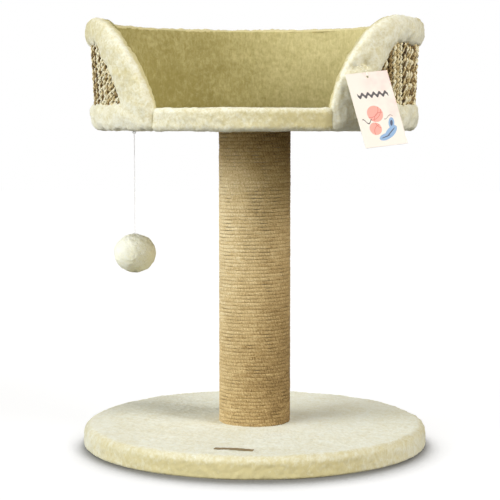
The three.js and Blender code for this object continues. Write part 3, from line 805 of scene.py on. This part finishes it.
def base_label():
    """A ribbon laid on the plush: a slab whose section is a rounded oblong, and whose height follows
    a long wave and a short one."""
    length = np.linspace(-0.5, 0.5, 61) * LABEL_LENGTH
    around = np.linspace(0, TURN, 24, endpoint=False)
    across, rise = oblong(around, 0.35, 0.6)
    x, y = np.broadcast_arrays(length[:, None], across[None] * LABEL_WIDTH / 2)
    sag = LABEL_SAG * np.cos(x / LABEL_SAG_LENGTH * TURN) + 0.08 * MM * np.sin(x / MM * 0.9)
    points = np.stack([x, y, rise[None] * LABEL_THICKNESS / 2 + sag], -1)
    turn = np.array(Matrix.Rotation(math.radians(LABEL_TURN), 3, "Z"))
    points = points @ turn.T + np.array(LABEL_PLACE)
    reach = np.append(around, TURN) / TURN * LABEL_CLOTH_ROUND
    mesh = surface("woven_label", points, (False, True), cloth_grid(length, reach))
    piece = link("woven_label", mesh, woven_label())
    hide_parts("base_label")


# ---- Post


def rope_winding():
    """A helix of close turns whose first and last sink into the plush. The section is a rounded
    oblong, a little uneven in size and in height."""
    steps_per_turn, sides = 140, 8
    steps = ROPE_TURNS * steps_per_turn
    pitch = (PERCH_BOTTOM - BASE_TOP) / (ROPE_TURNS - 2 * ROPE_TURNS_SUNK)
    middle = TUBE_RADIUS + GAP + ROPE_THICKNESS / 2
    turns = np.arange(steps + 1) / steps_per_turn
    angle = turns * TURN
    rise = BASE_TOP + pitch * (turns - ROPE_TURNS_SUNK)
    centre = np.stack([middle * np.sin(angle), -middle * np.cos(angle), rise], -1)
    plump = 1 + 0.05 * ripples(centre, 22 * MM, 31) + 0.06 * ripples(centre, 6 * MM, 32)
    wander = 0.08 * MM * ripples(centre, 60 * MM, 33)
    around = np.linspace(0, TURN, sides, endpoint=False) + TURN / 2 / sides
    flat_out, flat_up = oblong(around, 0.4, 0.36)
    outwards = flat_out[None] * plump[:, None] * (ROPE_THICKNESS / 2 - ROPE_DRAWN_IN)
    upwards = flat_up[None] * plump[:, None] * pitch / 2 + wander[:, None]
    out = np.stack([np.sin(angle), -np.cos(angle), np.zeros_like(angle)], -1)
    points = centre[:, None] + out[:, None] * outwards[..., None]
    points[..., 2] += upwards
    along = angle * middle
    reach = np.append(around, around[0] + TURN) * ROPE_THICKNESS / 2
    mesh = surface("sisal_winding", points, (False, True), cloth_grid(along, reach))
    piece = link("sisal_winding", mesh, sisal())
    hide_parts("sisal_rope")


# ---- Perch


def perch_plush():
    """Profile: padded top, quarter-round edges, short upright side and the underside."""
    columns, spacing, centre = 560, 2.1 * MM, 2 * MM
    board_edge = PERCH_RADIUS - PERCH_PLUSH
    shoulder = PERCH_SHOULDER
    crown = arc((PERCH_RADIUS - shoulder, PERCH_TOP - shoulder), shoulder, 90, 0, 6)
    under = arc((PERCH_RADIUS - shoulder, PERCH_BOTTOM + shoulder), shoulder, 0, -90, 6)
    shown = evenly([(centre, PERCH_TOP), *crown, *under, (POST_HOLE, PERCH_BOTTOM)], spacing)
    hidden = np.array([
        (POST_HOLE, PERCH_BOTTOM + PERCH_UNDERLAY),
        (board_edge, PERCH_BOTTOM + PERCH_UNDERLAY),
        (board_edge, PERCH_TOP - PERCH_PAD),
        (centre, PERCH_TOP - PERCH_PAD),
    ])
    points, normal, proud, share = turned_plush(shown, hidden, columns, 21)
    moved = points + normal * proud[..., None]
    height = points[..., 2]
    side = between(height, PERCH_TOP - 3 * MM, PERCH_TOP - 13 * MM) * (share > 0)
    # Painted shade on the upright side.
    mesh = surface("perch_plush", moved, root=side * 0.5)
    piece = link("perch_plush", mesh, CREAM_PLUSH)
    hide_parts("perch_cover")


# ---- Wall: laid out flat, x is the distance round from the back and y the height


def round_from(from_front):
    """The distance round from the back of a place so many degrees from the front."""
    return np.radians(180 - np.asarray(from_front)) * LAYOUT_RADIUS


def on_wall(x, height, foot_radius):
    """A point of the flat layout on the wall, which flares outwards with height and, above the
    perch, leans round to the right."""
    angle = (x + WALL_LEAN * np.maximum(0, height - PERCH_TOP)) / LAYOUT_RADIUS
    radius = foot_radius + WALL_FLARE * (height - PERCH_BOTTOM)
    return np.stack(np.broadcast_arrays(radius * np.sin(angle), radius * np.cos(angle), height), -1)


def arm_edge(along):
    """The arm's sloping edge: it sweeps back with a cosine while it rises with a sine to 4/3."""
    turn = along * math.pi / 2
    foot = PERCH_BOTTOM + ARM_UPRIGHT
    height = foot + (RIM_TOP - foot) * np.sin(turn) ** (4 / 3)
    return round_from(ARM_TIP + ARM_SWEEP * (1 - np.cos(turn))), height


def window_edge(along):
    """The window's front edge: it leans back with the height to 3/2."""
    height = PERCH_BOTTOM + WINDOW_FOOT + WINDOW_HEIGHT * along
    return round_from(WINDOW_FRONT + WINDOW_SWEEP * along ** 1.5), height


def border_outline(run=420, corner=8, slope=90):
    """Stations round the border: its outer edge, the window's edge, and the way out, all laid flat."""
    turn = np.radians(np.linspace(0, 90, corner + 1)[1:])
    corner_x = round_from(ARM_TIP) - ARM_CORNER + ARM_CORNER * np.sin(turn)
    corner_y = PERCH_BOTTOM + ARM_CORNER - ARM_CORNER * np.cos(turn)
    slope_x, slope_y = arm_edge(np.linspace(0, 1, slope + 1)[1:-1] ** 0.9)
    side_outer = np.stack([np.append(corner_x, slope_x), np.append(corner_y, slope_y)], -1)
    side_share = np.arange(1, len(side_outer) + 1) / (len(side_outer) + 1)
    side_inner = np.stack(window_edge(side_share), -1)
    share = np.linspace(-1, 1, run)[:, None]
    foot_outer = np.array([[round_from(ARM_TIP) - ARM_CORNER, PERCH_BOTTOM]])
    foot_inner = np.stack(window_edge(np.zeros(1)), -1)
    top_outer = np.stack(arm_edge(np.ones(1)), -1)
    top_inner = np.stack(window_edge(np.ones(1)), -1)
    mirror = np.array([-1, 1])

    def lap(foot, side, top):
        """Along the foot from left to right, up the right side, back along the top, down the left."""
        along_foot = np.hstack([share * foot[0, 0], np.full((run, 1), foot[0, 1])])
        along_top = np.hstack([-share * top[0, 0], np.full((run, 1), top[0, 1])])
        return np.vstack([along_foot, side, along_top, (side * mirror)[::-1]])

    outer = lap(foot_outer, side_outer, top_outer)
    inner = lap(foot_inner, side_inner, top_inner)
    ahead = np.roll(outer, -1, 0) - np.roll(outer, 1, 0)
    ahead /= np.linalg.norm(ahead, axis=1)[:, None]
    return outer, inner, np.stack([ahead[:, 1], -ahead[:, 0]], -1)


def rounded(values, passes=2):
    """A closed outline with its corners cut: every side keeps its middle half, twice over."""
    for _ in range(passes):
        after = np.roll(values, -1, axis=1)
        cut = np.stack([0.75 * values + 0.25 * after, 0.25 * values + 0.75 * after], 2)
        values = cut.reshape(values.shape[0], -1, values.shape[2])
    return values


# The border's section. Over its padding: how far across from the outer edge to the window, and the
# height as a share of the crown. Round its edge: how far inside the outer edge, and the depth as a
# share of the wall's.
BORDER_OVER = [
    (1.0, 0.0), (1.0, 0.30), (0.94, 0.70), (0.78, 0.98), (0.54, 1.08), (0.32, 1.00), (0.17, 0.84),
    (0.05, 0.58), (0.0, 0.15),
]
BORDER_ROUND = [
    (0.0, -0.35), (1.0 * MM, -0.80), (2.2 * MM, -1.02), (BORDER_WRAP, -1.02), (BORDER_WRAP, -0.3),
]


def wall_border():
    """The padded frame: at every station a section of [x, y, distance from the panel] is laid from
    the window's lip over the crown and the outer edge to the lip inside, and its corners are cut.
    Painted shade darkens the inside, the back's crest, upright faces (less at the foot and on the
    right) and the left roll."""
    outer, inner, out = border_outline()
    rise = ((inner[:, 1] - PERCH_BOTTOM) / (RIM_TOP - PERCH_BOTTOM))[:, None]
    crown = BAND_CROWN + (ROLL_CROWN - BAND_CROWN) * rise
    depth = (MAT_INNER - LINING_INNER) * np.ones_like(crown)
    over = [np.hstack([outer + (inner - outer) * share, height * crown])
            for share, height in BORDER_OVER]
    edge = [np.hstack([outer - out * inset, height * depth]) for inset, height in BORDER_ROUND]
    under = np.hstack([(outer + inner) / 2, np.zeros_like(crown)])
    section = rounded(np.stack([*over, *edge, under], 1))
    points = on_wall(section[..., 0], section[..., 1], MAT_INNER + section[..., 2])
    normal = normals_of(points)
    outside = np.clip(section[..., 2] / (4 * MM), 0.15, 1)
    lumps = ripples(points, 30 * MM, 41) * 0.7 * MM * outside
    proud = pile(points, 42, swell=0.3, tuft=0.3, fuzz=0.16) + lumps
    for from_front, dimple_height in DIMPLES:
        angle = math.radians(from_front)
        radius = MAT_INNER + WALL_FLARE * (dimple_height - PERCH_BOTTOM) + BAND_CROWN
        place = np.array([radius * math.sin(angle), -radius * math.cos(angle), dimple_height])
        proud -= DIMPLE_DEPTH * np.exp(-((points - place) ** 2).sum(-1) / DIMPLE_RADIUS ** 2)
    moved = points + normal * proud[..., None]
    # Painted shade: inside the lip, along the back's crest, on upright faces and on the left roll.
    inside = between(section[..., 2], 1 * MM, -4 * MM)
    height = points[..., 2]
    foot = between(height, PERCH_BOTTOM + 60 * MM, PERCH_BOTTOM)
    right = between(points[..., 0], 0, LAYOUT_RADIUS)
    left = between(points[..., 0], 0, -LAYOUT_RADIUS)
    upright = (1 - np.abs(normal[..., 2])) * (0.35 - 0.25 * foot) * (1 - 0.6 * right)
    behind = between(np.abs(section[..., 0]), 330 * MM, 290 * MM)
    crest = behind * between(height, RIM_TOP - 6 * MM, RIM_TOP - 2 * MM)
    roll = 0.2 * left * between(height, RIM_TOP - 30 * MM, RIM_TOP)
    mesh = surface("wall_border_plush", moved, root=inside * 0.7 + crest + upright + roll)
    piece = link("wall_border_plush", mesh, CREAM_PLUSH)
    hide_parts("wall_border")


def front_band():
    """The padded strip from one arm's foot to the other's: a section with quarter-round edges is
    carried round the perch's edge; its ends thin a little and tuck into the arms at the seams."""
    reach = math.radians(ARM_TIP) + SEAM_TUCK / LINING_INNER
    angles = np.linspace(-reach, reach, 260)
    outer = MAT_INNER + FRONT_BAND_CROWN
    crown, turn, spacing = outer - FRONT_BAND_ROUND, FRONT_BAND_ROUND, 1.4 * MM
    section = evenly([
        (LINING_INNER, PERCH_BOTTOM),
        *arc((crown, PERCH_BOTTOM + turn), turn, -90, 0, 6),
        *arc((crown, PERCH_TOP - turn), turn, 0, 90, 6),
        (LINING_INNER, PERCH_TOP),
        (LINING_INNER, PERCH_BOTTOM + spacing),
    ], spacing)
    past = between(np.abs(angles), reach - 3 * MM / outer, reach)
    share = 0.75 + 0.25 * np.sqrt(1 - past ** 2)
    radius = LINING_INNER + (section[:, 0] - LINING_INNER)[None] * share[:, None]
    points = np.stack(np.broadcast_arrays(
        radius * np.sin(angles)[:, None],
        -radius * np.cos(angles)[:, None],
        section[:, 1][None],
    ), -1)
    normal = normals_of(points, (False, True))
    piled = between(radius, LINING_INNER, LINING_INNER + 3 * MM)
    lumps = ripples(points, 30 * MM, 46) * 0.4 * MM
    proud = (pile(points, 47, swell=0.3, tuft=0.2, fuzz=0.12) + lumps) * piled
    # Painted shade on upright faces, deepening towards the right.
    right = np.broadcast_to((angles / reach * 0.5 + 0.5)[:, None], radius.shape)
    root = (1 - np.abs(normal[..., 2])) * (0.08 + 0.6 * right)
    mesh = surface("front_band_plush", points + normal * proud[..., None], (False, True), root=root)
    piece = link("front_band_plush", mesh, CREAM_PLUSH)
    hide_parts("front_band")


def bent_sheet(half_widths, heights, columns, inner_radius, outer_radius, seed=None):
    """Two grids bent round the wall, at an inner and an outer radius, each row running level from
    edge to edge. With a seed the inner one carries pile. Also gives their flat x and height."""
    share = np.linspace(-1, 1, columns)
    x = share[:, None] * half_widths[None]
    height = np.broadcast_to(heights, x.shape)
    inside = on_wall(x, height, inner_radius)
    outside = on_wall(x, height, outer_radius)
    if seed is not None:
        inwards = -inside * np.array([1, 1, 0])
        inwards /= np.linalg.norm(inwards, axis=-1)[..., None]
        inside = inside + inwards * pile(inside, seed, swell=0.6, tuft=0.2, fuzz=0.06)[..., None]
    return inside, outside, x, height


def closed_sheet(name, inside, outside, uv_inside, root=None):
    """Two grids joined all round into one closed mesh; the outer one takes the inner one's cloth."""
    columns, rows = inside.shape[:2]
    vertices = np.vstack([inside.reshape(-1, 3), outside.reshape(-1, 3)])
    number = np.arange(columns * rows).reshape(columns, rows)
    face = sheet_of(inside, False, False)
    back = face[:, ::-1] + columns * rows
    edge = np.concatenate([number[:, 0], number[-1, 1:], number[-2::-1, -1], number[0, -2:0:-1]])
    after = np.roll(edge, -1)
    rim = np.stack([after, edge, edge + columns * rows, after + columns * rows], -1)
    faces = np.vstack([face, back, rim])
    turned = outward(vertices, faces)
    mesh = bpy.data.meshes.new(name)
    mesh.from_pydata(vertices.tolist(), [], turned.tolist())
    lay_cloth(mesh, np.vstack([uv_inside.reshape(-1, 2)] * 2)[turned])
    if root is not None:
        give(mesh, "root", np.concatenate([root.ravel()] * 2))
    return mesh


def lining_edge(rows):
    """Half widths and heights of the lining's rows, just inside the border's wrap."""
    along = np.linspace(0, 1, rows)
    slope_x, slope_y = arm_edge(np.linspace(0, 1, 200))
    low = PERCH_BOTTOM + BORDER_WRAP
    high = RIM_TOP - BORDER_WRAP * 0.6
    heights = low + (high - low) * along
    widths = np.interp(heights, slope_y, slope_x) - BORDER_WRAP * 0.8
    return widths, heights


def wall_lining():
    """Plush on the inner face of the wall, in the darker copy of the cream plush that paints its shade. More
    painted shade low down and on the left.
    """
    rows, columns = 70, 420
    widths, heights = lining_edge(rows)
    inner, outer = LINING_INNER, LINING_INNER + LINING_THICKNESS
    inside, outside, x, height = bent_sheet(widths, heights, columns, inner, outer, seed=51)
    # Painted shade: deeper low down and on the left.
    low = 1 - (height - PERCH_TOP) / (RIM_TOP - PERCH_TOP)
    left = between(x, 35 * MM, -105 * MM)
    root = 0.35 * low + 0.65 * left
    mesh = closed_sheet("lining_plush_painted_shade", inside, outside, np.stack([x, height], -1), root)
    piece = link("lining_plush_painted_shade", mesh, LINING_PLUSH_PAINTED_SHADE)
    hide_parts("wall_lining")


def seagrass_strands():
    """Upright strands side by side. A strand is two plies, each a tube whose centre runs on a helix
    and whose radius swells and shrinks; a strand in front of the window's top corner ends at the
    window's slanting edge. Every ply has its own tone."""
    random = np.random.default_rng(61)
    half_width = float(window_edge(np.zeros(1))[0][0])
    count = round(2 * half_width / STRAND_PITCH)
    x = (np.arange(count) + 0.5) / count * 2 * half_width - half_width
    from_front = 180 - np.degrees(np.abs(x) / LAYOUT_RADIUS)
    reach = np.clip((from_front - WINDOW_FRONT) / WINDOW_SWEEP, 0.02, 1) ** (2 / 3)
    foot = PERCH_BOTTOM + WINDOW_FOOT - 2 * MM
    length = WINDOW_HEIGHT * reach + 3 * MM
    rings, sides = 44, 6
    share = np.linspace(0, 1, rings)
    around = np.linspace(0, TURN, sides, endpoint=False)
    vertices, faces, uvs, tones = [], [], [], []
    for strand in range(count):
        twist = PLY_TWIST * random.uniform(0.8, 1.25)
        lean = random.normal() * 0.5 * MM
        start = random.uniform(0, TURN)
        along = share * length[strand]
        for ply in range(2):
            phase = start + ply * math.pi + along / twist * TURN
            kink = 1 + 0.22 * np.sin(along / (4.3 * MM) * TURN / 2 + random.uniform(0, TURN))
            radius = PLY_RADIUS * random.uniform(0.8, 1.08) * kink
            centre_x = x[strand] + lean * share + PLY_OFFSET * np.cos(phase)
            centre_out = MAT_THICKNESS / 2 + PLY_OFFSET * np.sin(phase)
            tube_x = centre_x[:, None] + radius[:, None] * np.cos(around)
            tube_out = centre_out[:, None] + radius[:, None] * np.sin(around)
            height = np.broadcast_to((foot + along)[:, None], tube_x.shape)
            points = on_wall(tube_x, height, MAT_INNER + tube_out)
            base = len(vertices) * rings * sides
            vertices.append(points.reshape(-1, 3))
            faces.append(sheet_of(points, False, True)[:, ::-1] + base)
            reach_round = np.append(around, TURN) * PLY_RADIUS
            uv = grid_corners(cloth_grid(along, reach_round)).reshape(-1, 4, 2)
            uvs.append(uv[:, ::-1].reshape(-1, 2))
            tones.append(np.full(rings * sides, random.uniform(0.1, 0.9)))
    mesh = bpy.data.meshes.new("seagrass_strands")
    tubes = len(vertices)
    first = (np.arange(tubes) * rings * sides)[:, None] + np.arange(sides)[None, ::-1]
    last = first[:, ::-1] + (rings - 1) * sides
    quads = np.vstack(faces).tolist()
    mesh.from_pydata(np.vstack(vertices).tolist(), [], quads + last.tolist() + first.tolist())
    lay_cloth(mesh, np.vstack([*uvs, np.zeros((2 * tubes * sides, 2))]))
    give(mesh, "tone", np.concatenate(tones))
    piece = link("seagrass_strands", mesh, seagrass())
    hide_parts("seagrass_mat")


def straw_ground():
    """The mat's ground, which shows between the strands; its dark brown is painted shade."""
    widths, heights = window_edge(np.linspace(0, 1, 16))
    inner, outer = MAT_INNER + 0.1 * MM, MAT_INNER + 1.6 * MM
    inside, outside, x, height = bent_sheet(widths, heights, 120, inner, outer)
    mesh = closed_sheet("straw_ground", inside, outside, np.stack([x, height], -1))
    link("straw_ground", mesh, straw_backing_painted_shade())


# ---- Toy


def tube_along(centres, radius, sides, closed):
    """A round tube: each ring lies square to the line through its neighbours. The rings' first
    spoke is the part of a fixed direction that is square to the line."""
    if closed:
        ahead = np.roll(centres, -1, 0) - np.roll(centres, 1, 0)
    else:
        ahead = np.gradient(centres, axis=0)
    ahead /= np.linalg.norm(ahead, axis=1)[:, None]
    fixed = np.array([0.31, 0.87, 0.38])
    spoke = np.cross(ahead, fixed)
    spoke /= np.linalg.norm(spoke, axis=1)[:, None]
    other = np.cross(ahead, spoke)
    around = np.linspace(0, TURN, sides, endpoint=False)
    cosine, sine = np.cos(around)[None, :, None], np.sin(around)[None, :, None]
    return centres[:, None] + (spoke[:, None] * cosine + other[:, None] * sine) * radius


def toy_string():
    """The string hangs straight from the knot into the ball."""
    rings, sides, radius = 60, 12, STRING_DIAMETER / 2
    heights = np.linspace(STRING_TOP, STRING_BOTTOM, rings)
    centres = np.stack([np.full(rings, TOY_X), np.full(rings, TOY_Y), heights], -1)
    points = tube_along(centres, radius, sides, False)
    reach = np.linspace(0, TURN, sides + 1) * radius
    mesh = surface("string", points, (False, True), cloth_grid(STRING_TOP - heights, reach))
    piece = link("string", mesh, ELASTIC, "toy")
    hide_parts("toy_string")
    return piece, centres


def toy_knot():
    """The string's upright loop through the staple: a round tube on a circle."""
    rings, sides = 48, 10
    wire = (KNOT_HIGH.y - KNOT_LOW.y) / 2
    radius = (KNOT_HIGH.z - KNOT_LOW.z) / 2 - wire
    middle = (KNOT_HIGH.z + KNOT_LOW.z) / 2
    angles = np.linspace(0, TURN, rings, endpoint=False)
    loop = np.stack([
        TOY_X + radius * np.sin(angles),
        np.full(rings, TOY_Y),
        middle + radius * np.cos(angles),
    ], -1)
    points = tube_along(loop, wire, sides, True)
    length = np.linspace(0, TURN, rings + 1) * radius
    reach = np.linspace(0, TURN, sides + 1) * wire
    mesh = surface("string_loop", points, uv=cloth_grid(length, reach))
    piece = link("string_loop", mesh, ELASTIC, "toy_knot")
    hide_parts("toy_knot")


def plush_ball():
    """A slightly squashed sphere. At its top the cloth is drawn in round the string: a bell-shaped
    dip with uneven folds, and a small puckered rim. Painted shade darkens the folds and the lower
    right."""
    columns, rows = 220, 120
    middle = (BALL_HIGH + BALL_LOW) / 2
    half = (BALL_HIGH.z - BALL_LOW.z) / 2 - 0.9 * MM
    radius = (BALL_HIGH.x - BALL_LOW.x) / 2 + 0.5 * MM
    turn = np.linspace(0, TURN, columns, endpoint=False)[:, None]
    down = np.linspace(0.02, math.pi - 0.01, rows)[None]
    gather = np.exp(-(down / 0.26) ** 2)
    folds = gather * (0.5 + 0.5 * np.cos(9 * turn + 0.7 * np.sin(3 * turn)))
    rim = 0.7 * MM * np.exp(-((down - 0.12) / 0.07) ** 2) * (1 - 0.4 * folds)
    size = 1 - 0.02 * folds - 0.02 * gather
    points = np.stack(np.broadcast_arrays(
        middle.x + radius * np.sin(down) * np.sin(turn) * size,
        middle.y + radius * np.sin(down) * np.cos(turn) * size,
        middle.z - 0.7 * MM + half * np.cos(down) * size + rim,
    ), -1)
    away = points - np.array(middle)
    away /= np.linalg.norm(away, axis=-1)[..., None]
    proud = pile(points, 71, swell=0.0, tuft=0.18, fuzz=0.26)
    points = points + away * proud[..., None]
    # Painted shade in the folds and towards the lower right.
    low_right = (away @ np.array([0.75, -0.3, -0.6])).clip(-0.4, 1)
    root = folds * 0.4 + 0.3 * low_right
    mesh = surface("plush_ball", points.transpose(1, 0, 2), (False, True), root=root.T)
    finish = plush("ball_plush", BALL_TIP, BALL_ROOT, softness=0.3)
    piece = link("plush_ball", mesh, finish, "toy")
    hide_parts("pompom")
    return piece


# ---- Tag


def tag_rotation():
    """The tag faces a little to the right, its foot leans out and its right side is up."""
    turn = Matrix.Rotation(math.radians(TAG_FACING), 3, "Z")
    lean = Matrix.Rotation(math.radians(-TAG_LEAN), 3, "X")
    roll = Matrix.Rotation(math.radians(-TAG_ROLL), 3, "Y")
    return turn @ lean @ roll


# The nylon loop's route in millimetres from the tag's hole: to the right, back and up.
LOOP_FRONT = 2.2
LOOP_REACH = 7.9
LOOP_SPREAD = 7.2
LOOP_RISE = 12.2
LOOP_ROUTE = [
    (0, -LOOP_FRONT, 0.8),
    (-LOOP_SPREAD / 2, -LOOP_FRONT / 4, 0.6 * LOOP_RISE),
    (-LOOP_SPREAD, LOOP_REACH, LOOP_RISE),
    (0, LOOP_REACH, LOOP_RISE),
    (LOOP_SPREAD, LOOP_REACH, LOOP_RISE),
    (LOOP_SPREAD / 2, 0.8 * LOOP_REACH, 0.45 * LOOP_RISE),
    (0, 1.3 * LOOP_FRONT, -0.8),
]


def smooth_loop(route, steps):
    """A closed curve through the points: between two of them, the cubic whose slope at each is half
    the step between its neighbours."""
    route = np.asarray(route, float)
    share = np.linspace(0, 1, steps, endpoint=False)[:, None, None]
    before, here = np.roll(route, 1, 0), route
    after, beyond = np.roll(route, -1, 0), np.roll(route, -2, 0)
    curve = 0.5 * (2 * here + (after - before) * share
                   + (2 * before - 5 * here + 4 * after - beyond) * share ** 2
                   + (3 * here - before - 3 * after + beyond) * share ** 3)
    return curve.transpose(1, 0, 2).reshape(-1, 3)


def tag_thread():
    """The nylon loop through the tag's hole; it goes into the plush at its two dimples."""
    turn = np.array(Matrix.Rotation(math.radians(TAG_FROM_FRONT), 3, "Z"))
    centres = smooth_loop(LOOP_ROUTE, 16) * MM @ turn.T + np.array(TAG_HOLE)
    points = tube_along(centres, NYLON_RADIUS, 10, True)
    piece = link("nylon_loop", surface("nylon_loop", points), nylon(), "tag_loop")
    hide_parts("tag_loop")


# ---- Hard pieces: the frame's own solids in their finishes


def finish_hard_pieces():
    finishes = {
        "chipboard": chipboard(),
        "birch": birch(),
        "greyboard": greyboard(),
        "black_felt": black_felt(),
        "zinc_steel": zinc(),
        "card": printed_card(),
    }
    for part in frame["record"]["subparts"]:
        if part["material_slot"] in finishes:
            slots = frame["nodes"][part["node"]].material_slots
            for slot in slots:
                slot.material = finishes[part["material_slot"]]


# ---- Stage and light

FLOOR_SIZE = 12
FLOOR_GREY = 0.25
FLOOR_GLOW = 0.85
CONTACT_REACH = 70 * MM
CONTACT_FROM = (-0.12, 0.88, 0.46)
CONTACT_FADE = (0.52, 0.9)
SKY_LIGHT = 0.1
SKY_COLOUR = (1.0, 0.85, 0.55, 1)
LAMPS = {
    "left_low": ((-0.95, -0.25, 0.2), (1.0, 1.0, 0.98), 1.65, 40),
    "left_high": ((-0.75, -0.6, 0.45), (0.97, 1.0, 1.0), 1.8, 40),
    "right_low": ((0.65, -0.75, 0.2), (1.0, 0.95, 0.78), 0.75, 30),
    "right_high": ((0.75, -0.4, 0.6), (1.0, 0.99, 0.98), 1.8, 24),
}


def make_floor():
    """A pale grey floor. Its glow, which only the camera and reflections see, lifts it to white. It
    falls away close to what stands on it, most in front, where an occlusion test leaning back dims it:
    this paints the contact shadow, over the faint real one."""
    finish = Finish("floor")
    seen = finish.node("ShaderNodeLightPath", output="Is Camera Ray")
    glossy = finish.node("ShaderNodeLightPath", output="Is Glossy Ray")
    # Painted contact shadow: the glow fades where this tilted occlusion test finds the object near.
    leaning_back = finish.joined(*CONTACT_FROM)
    inputs = {"Color": (1, 1, 1, 1), "Distance": CONTACT_REACH, "Normal": leaning_back}
    open_air = finish.node("ShaderNodeAmbientOcclusion", {"samples": 16}, inputs, "AO")
    glow = open_air.step(*CONTACT_FADE)
    finish.shade(
        Base_Color=(FLOOR_GREY, FLOOR_GREY, FLOOR_GREY, 1),
        Roughness=1.0,
        Specular_IOR_Level=0.0,
        Emission_Color=finish.mix(glow, (0, 0, 0, 1), (1, 1, 1, 1)),
        Emission_Strength=seen.math("MAXIMUM", seen, glossy) * FLOOR_GLOW,
    )
    mesh = bpy.data.meshes.new("floor")
    half = FLOOR_SIZE / 2
    corners = [(-half, -half, 0), (half, -half, 0), (half, half, 0), (-half, half, 0)]
    mesh.from_pydata(corners, [], [(0, 1, 2, 3)])
    mesh.materials.append(finish.material)
    floor = bpy.data.objects.new("floor", mesh)
    bpy.context.scene.collection.objects.link(floor)


class Sky(Finish):
    """The world's nodes, written as a material's are."""

    def __init__(self, world):
        world.use_nodes = True
        self.tree = world.node_tree
        self.surface = self.tree.nodes["Background"]


def make_world():
    """White to the camera, in reflections and through clear pieces; as a light it is dim and even."""
    world = bpy.data.worlds.new("studio")
    bpy.context.scene.world = world
    sky = Sky(world)
    seen = sky.node("ShaderNodeLightPath", output="Is Camera Ray")
    glossy = sky.node("ShaderNodeLightPath", output="Is Glossy Ray")
    through = sky.node("ShaderNodeLightPath", output="Is Transmission Ray")
    shown = seen.math("MAXIMUM", seen.math("MAXIMUM", seen, glossy), through)
    sky.feed(sky.surface.inputs["Color"], sky.mix(shown, SKY_COLOUR, (1, 1, 1, 1)))
    sky.feed(sky.surface.inputs["Strength"], shown * (1 - SKY_LIGHT) + SKY_LIGHT)


def sun(name, towards, colour, strength, spread):
    """A lamp far off in that direction, seen as a disc of that many degrees."""
    data = bpy.data.lights.new(name, "SUN")
    data.color = colour
    data.energy = strength
    data.angle = math.radians(spread)
    light = bpy.data.objects.new(name, data)
    light.rotation_euler = Vector(towards).to_track_quat("Z", "Y").to_euler()
    bpy.context.scene.collection.objects.link(light)


def light_the_stage():
    """Two broad lamps from the left, the stronger side, and two from the right."""
    make_world()
    for name, lamp in LAMPS.items():
        sun(name, *lamp)


# ---- Making the scene

bpy.context.scene.view_settings.view_transform = "Standard"
make_camera()
ELASTIC = elastic()
CREAM_PLUSH = plush("cream_plush", CREAM_TIP, CREAM_ROOT)
# The lining's plush: a darker copy of the cream plush, its shade painted into the colour.
LINING_PLUSH_PAINTED_SHADE = plush("lining_plush_painted_shade", LINING_TIP_PAINTED_SHADE, LINING_ROOT_PAINTED_SHADE, 0.35, 0.5)
string, string_path = toy_string()
ball = plush_ball()
toy_knot()
base_plush()
base_label()
rope_winding()
perch_plush()
wall_lining()
wall_border()
front_band()
straw_ground()
seagrass_strands()
tag_thread()
finish_hard_pieces()
make_floor()
light_the_stage()
